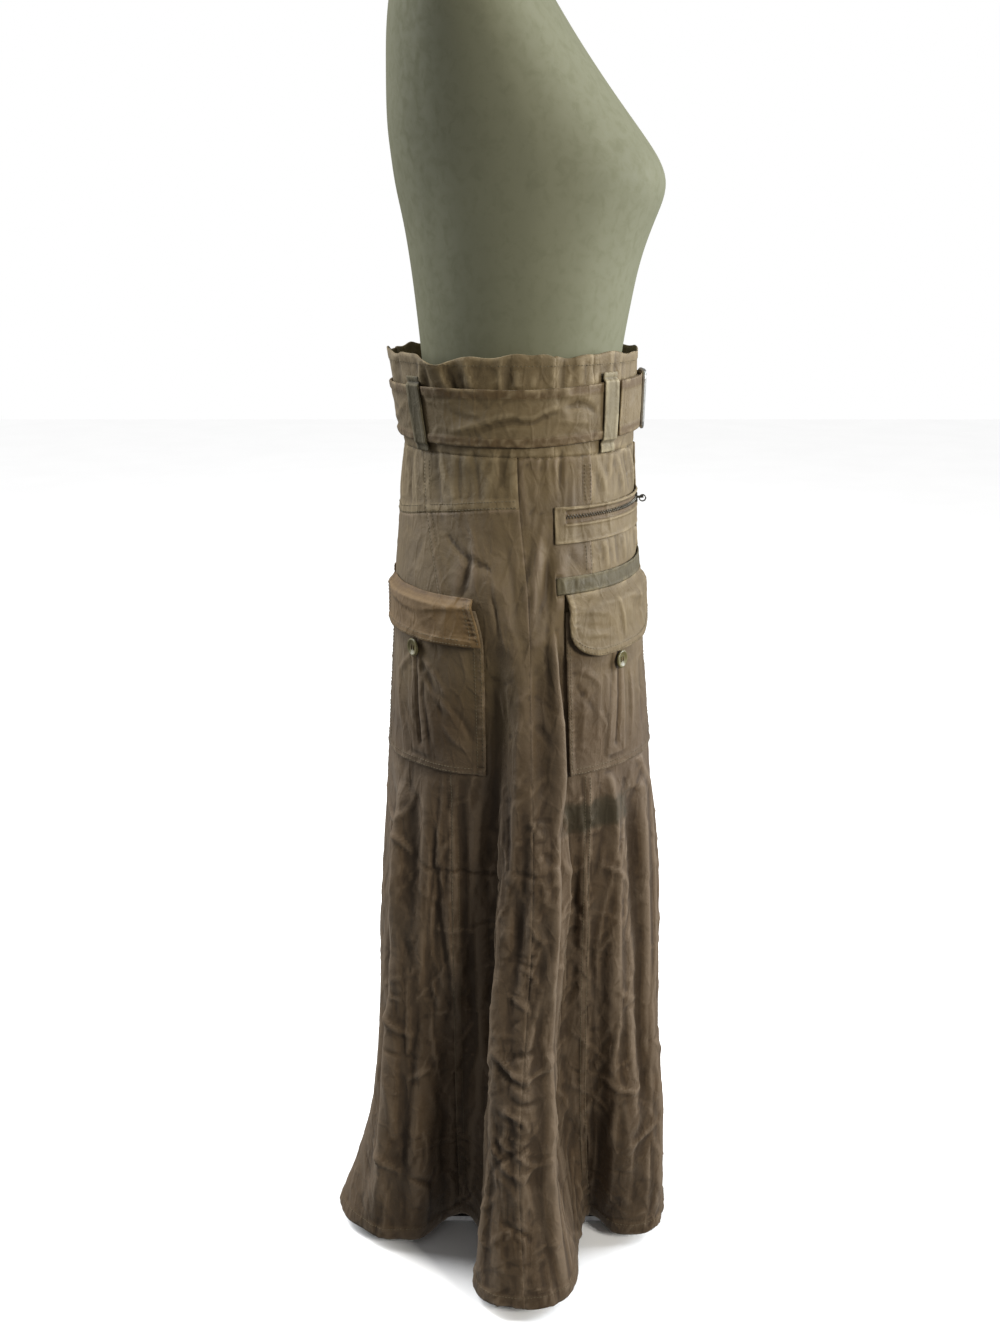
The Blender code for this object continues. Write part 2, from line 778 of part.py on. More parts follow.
def make_cargos():
    both_sides(
        "back_cargo",
        *BACK_BAG,
        lambda name, start, end: make_cargo(
            name,
            (start, end),
            BACK_FULLNESS,
            (BACK_FLAP_LOW, BACK_FLAP_HIGH, 0.0),
            BACK_BUTTON_HEIGHT,
            "golden_cloth",
        ),
    )
    both_sides(
        "front_cargo",
        *FRONT_BAG,
        lambda name, start, end: make_cargo(
            name,
            (start, end),
            FRONT_FULLNESS,
            (FRONT_FLAP_LOW, FRONT_FLAP_HIGH, FLAP_CORNER),
            FRONT_BUTTON_HEIGHT,
            "cloth",
        ),
    )


def make_trims():
    """The strip above each front flap and the fly placket."""
    inner, outer = laid(LAY_GAP, CLOTH)

    def strip(name, start, end):
        rows = [level(HIP_BAND_LOW), level(HIP_BAND_HIGH)]
        cloth_solid(name, columns_between(start, end), rows, inner, outer, "dark_cloth")

    both_sides("hip_band", *HIP_BAND, strip)
    heights = [level(z) for z in (FLY_LOW, 0.856, 0.874, 0.890, 0.915, FLY_HIGH)]
    cloth_solid("fly_placket", columns_between(*FLY), heights, inner, outer, "cloth")


def make_zip(side, span, slider_place, groove):
    """A pocket patch with the zip's slit sunk into it, the slider and its hanging pull ring."""
    places = columns_between(*span, (*groove, groove[0] - PLEAT_EDGE, groove[1] + PLEAT_EDGE))
    low, high = groove

    def outer(place, height):
        edge = PLEAT_EDGE / 2
        sunk = GROOVE_LOW < height < GROOVE_HIGH and low - edge < place < high + edge
        return GROOVE_FLOOR if sunk else ZIP_PROUD

    step = 0.0004
    steps = [edge + side * step for edge in (GROOVE_LOW, GROOVE_HIGH) for side in (-1, 1)]
    heights = [level(z) for z in (ZIP_LOW, *steps, ZIP_HIGH)]
    inner, _ = laid(LAY_GAP, 0.0)
    cloth_solid("zip_patch_" + side, places, heights, inner, outer, "cloth")
    make_slider(side, slider_place)


def block(name, size, middle, matrix, collection):
    """A box of a given size, centred at a point of a local frame."""
    bpy.ops.mesh.primitive_cube_add(size=1.0)
    item = bpy.context.object
    item.name = name
    item.data.name = name
    item.data.transform(Matrix.Translation(middle) @ Matrix.Diagonal((*size, 1.0)))
    item.matrix_world = matrix
    for other in list(item.users_collection):
        other.objects.unlink(item)
    collection.objects.link(item)
    return item


def make_slider(side, place):
    """The slider with its arch, and the ring that hangs on the arch's bar."""
    height = (GROOVE_LOW + GROOVE_HIGH) / 2
    spot, along, up, outward = cloth_frame(place, height, GROOVE_FLOOR + SEAM_GAP)
    matrix = Matrix.Translation(spot) @ Matrix((-along, outward, up)).transposed().to_4x4()
    part, cutters = (bpy.data.collections[name] for name in ("utility_skirt", "cutters"))
    name = "zip_slider_" + side
    slider = block(name, (SLIDER_LONG, SLIDER_THICK, SLIDER_TALL), (0, SLIDER_THICK / 2, 0), matrix, part)
    slider.data.materials.append(make_material(name, COLOURS["steel"], 0.4, 0.9))
    face = SLIDER_THICK
    bar_out = face + ARCH_REACH - ARCH_SINK / 2
    post_tall = ARCH_REACH + ARCH_BAR / 2 + ARCH_SINK
    pieces = [
        ((ARCH_BAR, post_tall, ARCH_BAR), (end * ARCH_SPAN / 2, face + post_tall / 2 - ARCH_SINK, 0))
        for end in (-1, 1)
    ]
    pieces.append(((ARCH_SPAN, ARCH_BAR, ARCH_BAR), (0, bar_out, 0)))
    for number, (size, middle) in enumerate(pieces):
        tool = block(f"{name}_tool_{number}", size, middle, matrix, cutters)
        tool.hide_render = True
        tool.display_type = "WIRE"
        union = slider.modifiers.new("union", "BOOLEAN")
        union.operation = "UNION"
        union.object = tool
    bar = matrix @ Vector((0, bar_out, 0))
    make_pull(side, bar, along)


def make_pull(side, bar, along):
    """The ring, its origin on the arch's bar, hanging straight down with clearance all round the bar."""
    bpy.ops.mesh.primitive_torus_add(
        major_radius=PULL_RADIUS, minor_radius=PULL_WIRE, major_segments=14, minor_segments=6
    )
    ring = bpy.context.object
    ring.name = "zip_pull_" + side
    hang = PULL_RADIUS - PULL_WIRE - ARCH_BAR * math.sqrt(0.5) - SEAM_GAP
    ring.data.transform(Matrix.Translation((0, 0, -hang)) @ Matrix.Rotation(math.pi / 2, 4, "Y"))
    outward = Vector((along.y, -along.x, 0.0))
    up = Vector((0.0, 0.0, 1.0))
    ring.matrix_world = Matrix.Translation(bar) @ Matrix((-along, outward, up)).transposed().to_4x4()
    for other in list(ring.users_collection):
        other.objects.unlink(ring)
    bpy.data.collections["utility_skirt"].objects.link(ring)
    ring.data.shade_smooth()
    ring.data.materials.append(make_material(ring.name, COLOURS["steel"], 0.35, 0.9))


def make_form():
    """The torso as rings on every second column of the cloth, the pole and the flat cross foot."""
    places = COLUMNS[::2]
    shell = bmesh.new()
    loops = []
    for height, half_width, middle, depth in FORM_RINGS:
        at = min(height, WAIST_SEAM)
        loop = []
        for place in places:
            x, y = oval(place, max(at, HIP), half_width, depth, depth)
            loop.append(shell.verts.new((x, y + middle, height)))
        loops.append(loop)
    count = len(places)
    for low, high in zip(loops, loops[1:]):
        for i in range(count):
            j = (i + 1) % count
            shell.faces.new((low[i], low[j], high[j], high[i]))
    shell.faces.new(loops[0][::-1])
    shell.faces.new(loops[-1])
    mesh = bpy.data.meshes.new("form_torso")
    shell.to_mesh(mesh)
    shell.free()
    mesh.shade_smooth()
    add_object("form_torso", mesh, "form", roughness=0.7)
    low = FOOT_THICK + SEAM_GAP
    high = FORM_RINGS[0][0] - SEAM_GAP
    bpy.ops.mesh.primitive_cylinder_add(vertices=20, radius=POLE_RADIUS, depth=high - low)
    pole = bpy.context.object
    pole.name = "form_pole"
    pole.location.z = (low + high) / 2
    for other in list(pole.users_collection):
        other.objects.unlink(pole)
    bpy.data.collections["utility_skirt"].objects.link(pole)
    pole.data.materials.append(make_material("form_pole", COLOURS["steel"], 0.4, 0.9))
    make_foot()


def make_foot():
    """Four flat legs in a cross, from one outline with round ends."""
    outline = []
    for leg in range(4):
        turn = Matrix.Rotation(math.radians(90 * leg), 2)
        outline.append(turn @ Vector((FOOT_HALF, -FOOT_HALF)))
        for step in range(7):
            angle = math.radians(-90 + 30 * step)
            centre = FOOT_REACH - FOOT_HALF
            outline.append(turn @ Vector((centre + FOOT_HALF * math.cos(angle), FOOT_HALF * math.sin(angle))))
    curve = bpy.data.curves.new("form_foot", "CURVE")
    curve.dimensions = "2D"
    curve.fill_mode = "BOTH"
    curve.extrude = FOOT_THICK / 2
    spline = curve.splines.new("POLY")
    spline.points.add(len(outline) - 1)
    for spot, place in zip(spline.points, outline):
        spot.co = (place.x, place.y, 0.0, 1.0)
    spline.use_cyclic_u = True
    foot = add_object("form_foot", curve, "steel", roughness=0.45, metallic=0.9)
    foot.location.z = FOOT_THICK / 2


def main():
    for item in list(bpy.data.objects):
        bpy.data.objects.remove(item)
    for name in ("utility_skirt", "cutters"):
        bpy.context.scene.collection.children.link(bpy.data.collections.new(name))
    make_form()
    make_body()
    make_trims()
    make_belt()
    make_cargos()
    make_zip("right", ZIP_RIGHT, RIGHT_SLIDER_AT, (GROOVE_END, RIGHT_GROOVE_END))
    make_zip("left", ZIP_LEFT, LEFT_SLIDER_AT, (LEFT_GROOVE_END, ROUND - GROOVE_END))


main()
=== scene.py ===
"""The looks of a long utility skirt with a paper-bag waist, belt and cargo pockets, on a dress form.

Metres, +Z up, the wearer facing -Y with the right side at -X. Places on the cloth are a round coordinate,
0 at centre back, 6 at the right side seam, 12 at centre front and 18 at the left side seam, and a height.
"""

import math

import bmesh
import bpy
import numpy as np
from mathutils import Matrix, Vector


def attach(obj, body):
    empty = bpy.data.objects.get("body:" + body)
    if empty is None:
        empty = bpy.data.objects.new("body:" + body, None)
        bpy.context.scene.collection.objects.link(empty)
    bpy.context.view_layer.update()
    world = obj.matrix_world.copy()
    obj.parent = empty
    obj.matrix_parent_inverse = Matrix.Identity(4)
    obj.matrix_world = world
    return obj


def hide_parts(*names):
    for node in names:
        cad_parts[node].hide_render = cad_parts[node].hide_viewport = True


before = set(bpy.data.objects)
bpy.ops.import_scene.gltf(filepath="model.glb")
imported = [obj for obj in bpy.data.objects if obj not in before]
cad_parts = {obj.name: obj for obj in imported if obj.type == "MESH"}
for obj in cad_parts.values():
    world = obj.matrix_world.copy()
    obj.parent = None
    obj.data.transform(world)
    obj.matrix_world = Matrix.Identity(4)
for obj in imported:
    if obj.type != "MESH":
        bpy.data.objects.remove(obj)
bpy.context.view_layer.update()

HEM = 0.010
FLAP_SEAM = 0.8125
WAIST_SEAM = 0.937
BAND_TOP = 1.030
HIP = 0.760
ROUND = 24

# One row for each station of the right half: waist angle and hip angle from centre back, in degrees
STATIONS = (
    (0, 0), (13, 24), (26, 39), (38, 55), (55, 78), (72, 85), (88, 94),
    (99, 103), (111, 109), (124, 124), (141, 141), (160, 160), (180, 180),
)

# Oval rings of the fitted part. Columns: height, half width, back depth, front depth
SKIRT_RINGS = np.array((
    (0.760, 0.1730, 0.1300, 0.1250),
    (0.8125, 0.1605, 0.1285, 0.1225),
    (0.828, 0.1560, 0.1270, 0.1210),
    (0.856, 0.1480, 0.1245, 0.1190),
    (0.874, 0.1438, 0.1225, 0.1180),
    (0.890, 0.1405, 0.1210, 0.1172),
    (0.915, 0.1365, 0.1185, 0.1160),
    (0.937, 0.1350, 0.1172, 0.1150),
    (0.977, 0.1350, 0.1240, 0.1170),
    (1.030, 0.1380, 0.1320, 0.1165),
))

# Folds below the hip, a row for each station of the right half. Columns: the heights in FOLD_HEIGHTS,
# each with (out from the middle, back)
FOLD_HEIGHTS = (0.760, 0.480, 0.200, 0.010)
FOLDS = (
    ((0.000, 0.130), (0.000, 0.149), (0.000, 0.165), (0.000, 0.215)),
    ((0.070, 0.118), (0.075, 0.135), (0.070, 0.148), (0.055, 0.178)),
    ((0.107, 0.098), (0.105, 0.105), (0.092, 0.115), (0.066, 0.118)),
    ((0.137, 0.072), (0.118, 0.070), (0.075, 0.070), (0.024, 0.068)),
    ((0.161, 0.025), (0.122, 0.027), (0.095, 0.032), (0.060, 0.042)),
    ((0.170, 0.010), (0.155, 0.017), (0.150, 0.032), (0.152, 0.046)),
    ((0.173, -0.008), (0.169, -0.012), (0.171, 0.000), (0.178, -0.008)),
    ((0.170, -0.028), (0.156, -0.041), (0.150, -0.035), (0.152, -0.060)),
    ((0.161, -0.041), (0.122, -0.052), (0.095, -0.044), (0.070, -0.072)),
    ((0.141, -0.069), (0.115, -0.072), (0.076, -0.077), (0.024, -0.088)),
    ((0.106, -0.096), (0.100, -0.110), (0.087, -0.124), (0.058, -0.120)),
    ((0.062, -0.117), (0.062, -0.143), (0.060, -0.158), (0.050, -0.166)),
    ((0.000, -0.125), (0.000, -0.150), (0.000, -0.160), (0.000, -0.178)),
)

# How the left half's folds differ at the hem, a row for each station: out from the middle, back
LEFT_CHANGES = (
    (0.000, 0.000), (0.008, -0.008), (-0.006, 0.006), (0.010, 0.004), (0.002, 0.006),
    (-0.003, 0.004), (-0.002, -0.006), (0.002, -0.005), (0.006, -0.004), (0.008, 0.004),
    (0.006, -0.004), (-0.006, 0.002), (0.000, 0.000),
)

# The outward crumple in the band's top edge, towards the right back
CRUMPLE_AT = 3.9
CRUMPLE_WIDTH = 0.50
CRUMPLE_OUT = 0.012
CRUMPLE_DROP = 0.016
CRUMPLE_FROM = 0.985

LATTICE_STEP = 0.001
LATTICE = np.arange(0.0, 1.0445, LATTICE_STEP)


def smooth(share):
    """0 to 1 with level ends."""
    share = np.clip(share, 0.0, 1.0)
    return share * share * (3.0 - 2.0 * share)


def hermite(start, end, start_slope, end_slope, share):
    square, cube = share * share, share**3
    return (
        (2 * cube - 3 * square + 1) * start
        + (cube - 2 * square + share) * start_slope
        + (3 * square - 2 * cube) * end
        + (cube - square) * end_slope
    )


def curve_through(heights, values, at):
    """A smooth curve through values at rising heights, level beyond its ends."""
    heights, values = np.asarray(heights, float), np.asarray(values, float)
    last = len(heights) - 1
    after, before = np.minimum(np.arange(last + 1) + 1, last), np.maximum(np.arange(last + 1) - 1, 0)
    slopes = (values[after] - values[before]) / (heights[after] - heights[before])
    at = np.clip(at, heights[0], heights[-1])
    low = np.clip(np.searchsorted(heights, at) - 1, 0, last - 1)
    span = heights[low + 1] - heights[low]
    share = (at - heights[low]) / span
    return hermite(values[low], values[low + 1], slopes[low] * span, slopes[low + 1] * span, share)


def station_tables():
    """For each lattice height, x and y of the 24 stations."""
    rings = [curve_through(SKIRT_RINGS[:, 0], SKIRT_RINGS[:, k], LATTICE) for k in (1, 2, 3)]
    share = smooth((LATTICE - HIP) / (WAIST_SEAM - HIP))
    flap_row = int(round(FLAP_SEAM / LATTICE_STEP))
    xs, ys = [], []
    for station in range(ROUND):
        match, side = (station, -1) if station <= 12 else (ROUND - station, 1)
        waist, hip = STATIONS[match]
        angle = np.radians(hip + (waist - hip) * share)
        ring_x = np.sin(angle) * rings[0]
        ring_y = np.cos(angle) * np.where(np.cos(angle) > 0, rings[1], rings[2])
        heights = (*FOLD_HEIGHTS[::-1], FLAP_SEAM)
        fold_x = curve_through(heights, [*(p[0] for p in FOLDS[match][::-1]), ring_x[flap_row]], LATTICE)
        fold_y = curve_through(heights, [*(p[1] for p in FOLDS[match][::-1]), ring_y[flap_row]], LATTICE)
        if side > 0:
            deep = smooth((HIP - LATTICE) / (HIP - HEM))
            fold_x = fold_x + LEFT_CHANGES[match][0] * deep
            fold_y = fold_y + LEFT_CHANGES[match][1] * deep
        fitted = LATTICE >= FLAP_SEAM
        xs.append(side * np.where(fitted, ring_x, fold_x))
        ys.append(np.where(fitted, ring_y, fold_y))
    tables = []
    kernel = np.exp(-((np.arange(-15, 16) / 6.0) ** 2))
    near = np.exp(-(((LATTICE - FLAP_SEAM) / 0.022) ** 2))[:, None]
    for rows in (xs, ys):
        table = np.array(rows).T
        padded = np.pad(table, ((15, 15), (0, 0)), mode="edge")
        eased = sum(padded[k : k + len(table)] * w for k, w in enumerate(kernel)) / kernel.sum()
        tables.append(table * (1 - near) + eased * near)
    return tables


STATION_X, STATION_Y = station_tables()


def skirt_xy(place, height):
    """x and y of the skirt's outer face at round coordinates and heights of any one shape."""
    place, height = np.broadcast_arrays(np.asarray(place, float) % ROUND, np.asarray(height, float))
    station = np.floor(place).astype(int)
    share = place - station
    row = np.clip(height, LATTICE[0], LATTICE[-2]) / LATTICE_STEP
    low = np.minimum(row.astype(int), len(LATTICE) - 2)
    part = row - low
    found = []
    for table in (STATION_X, STATION_Y):
        values = []
        for step in (-1, 0, 1, 2):
            column = (station + step) % ROUND
            values.append(table[low, column] * (1 - part) + table[low + 1, column] * part)
        before, start, end, after = values
        found.append(hermite(start, end, (end - before) / 2, (after - start) / 2, share))
    x, y = found
    away = np.abs(place - CRUMPLE_AT)
    away = np.minimum(away, ROUND - away)
    rise = smooth((height - CRUMPLE_FROM) / (BAND_TOP - CRUMPLE_FROM))
    lift = rise * np.exp(-((away / CRUMPLE_WIDTH) ** 2))
    grow = 1 + CRUMPLE_OUT * lift / np.hypot(x, y)
    return x * grow, y * grow


def level_normal(place, height):
    """The level outward direction of the skirt, x and y."""
    ahead_x, ahead_y = skirt_xy(np.asarray(place) + 0.05, height)
    behind_x, behind_y = skirt_xy(np.asarray(place) - 0.05, height)
    nx, ny = ahead_y - behind_y, behind_x - ahead_x
    size = np.hypot(nx, ny)
    return nx / size, ny / size


def cloth(place, height, out):
    """Points over the skirt's outer face, moved straight out by a distance."""
    place, height, out = np.broadcast_arrays(place, height, out)
    x, y = skirt_xy(place, height)
    nx, ny = level_normal(place, height)
    return np.stack([x + nx * out, y + ny * out, height], axis=-1)


def speed(place, height):
    """Metres of cloth per unit of the round coordinate."""
    ahead_x, ahead_y = skirt_xy(np.asarray(place) + 0.05, height)
    behind_x, behind_y = skirt_xy(np.asarray(place) - 0.05, height)
    return np.hypot(ahead_x - behind_x, ahead_y - behind_y) / 0.1


# Relief: creases, ridges and seams as heights over the cloth
RELIEF_COLUMNS = ROUND * 36
RELIEF_STEP = 0.002
RELIEF_PLACES = np.arange(RELIEF_COLUMNS) * ROUND / RELIEF_COLUMNS
RELIEF_HEIGHTS = np.arange(0.0, 1.046, RELIEF_STEP)
RELIEF_SPEED = speed(RELIEF_PLACES[None, :], np.minimum(RELIEF_HEIGHTS, BAND_TOP)[:, None])


class Relief:
    """Heights over the cloth on a lattice of round coordinates and heights, in millimetres."""

    def __init__(self):
        self.field = np.zeros((len(RELIEF_HEIGHTS), RELIEF_COLUMNS))

    def crease(self, start, end, tall, wide, bow=0.0, lean=0.0, blunt=0.6):
        """A soft ridge, or a trough if tall is negative, between two places given as (round, height).

        tall, wide and bow are millimetres; lean makes one flank steeper; blunt is how its ends fade.
        """
        (u0, z0), (u1, z1) = start, end
        reach = (3 * wide + abs(bow)) / 1000
        rows = np.arange(
            max(int((min(z0, z1) - reach) / RELIEF_STEP), 0),
            min(int((max(z0, z1) + reach) / RELIEF_STEP) + 2, len(RELIEF_HEIGHTS)),
        )
        middle_row = int(np.clip((z0 + z1) / 2 / RELIEF_STEP, 0, len(RELIEF_HEIGHTS) - 1))
        middle_column = int(round((u0 + u1) / 2 / ROUND * RELIEF_COLUMNS)) % RELIEF_COLUMNS
        pace = RELIEF_SPEED[middle_row, middle_column]
        margin = reach / max(RELIEF_SPEED[rows][:, middle_column].min(), 0.012) + 0.1
        first = int(math.floor((min(u0, u1) - margin) / ROUND * RELIEF_COLUMNS))
        last = int(math.ceil((max(u0, u1) + margin) / ROUND * RELIEF_COLUMNS))
        columns = np.arange(first, min(last, first + RELIEF_COLUMNS - 1) + 1)
        places = columns * ROUND / RELIEF_COLUMNS
        columns = columns % RELIEF_COLUMNS
        across = (places[None, :] - u0) * RELIEF_SPEED[np.ix_(rows, columns)]
        upward = (RELIEF_HEIGHTS[rows] - z0)[:, None]
        run = np.array(((u1 - u0) * pace, z1 - z0))
        length = max(float(np.hypot(*run)), 1e-4)
        run /= length
        along = (across * run[0] + upward * run[1]) / length
        off = (upward * run[0] - across * run[1]) * 1000
        inside = np.clip(along, 0.0, 1.0)
        taper = np.sin(np.pi * inside)
        off = off - bow * taper
        width = wide * (1 + lean * np.sign(off))
        shape = taper**blunt * np.exp(-((off / width) ** 2))
        self.field[np.ix_(rows, columns)] += tall * shape

    def at(self, place, height):
        """The relief in metres."""
        place, height = np.broadcast_arrays(np.asarray(place, float) % ROUND, np.asarray(height, float))
        column = place / ROUND * RELIEF_COLUMNS
        row = np.clip(height / RELIEF_STEP, 0, len(RELIEF_HEIGHTS) - 1.001)
        i, j = row.astype(int), column.astype(int)
        a, b = row - i, column - j
        j, k = j % RELIEF_COLUMNS, (j + 1) % RELIEF_COLUMNS
        low = self.field[i, j] * (1 - b) + self.field[i, k] * b
        high = self.field[i + 1, j] * (1 - b) + self.field[i + 1, k] * b
        return (low * (1 - a) + high * a) / 1000


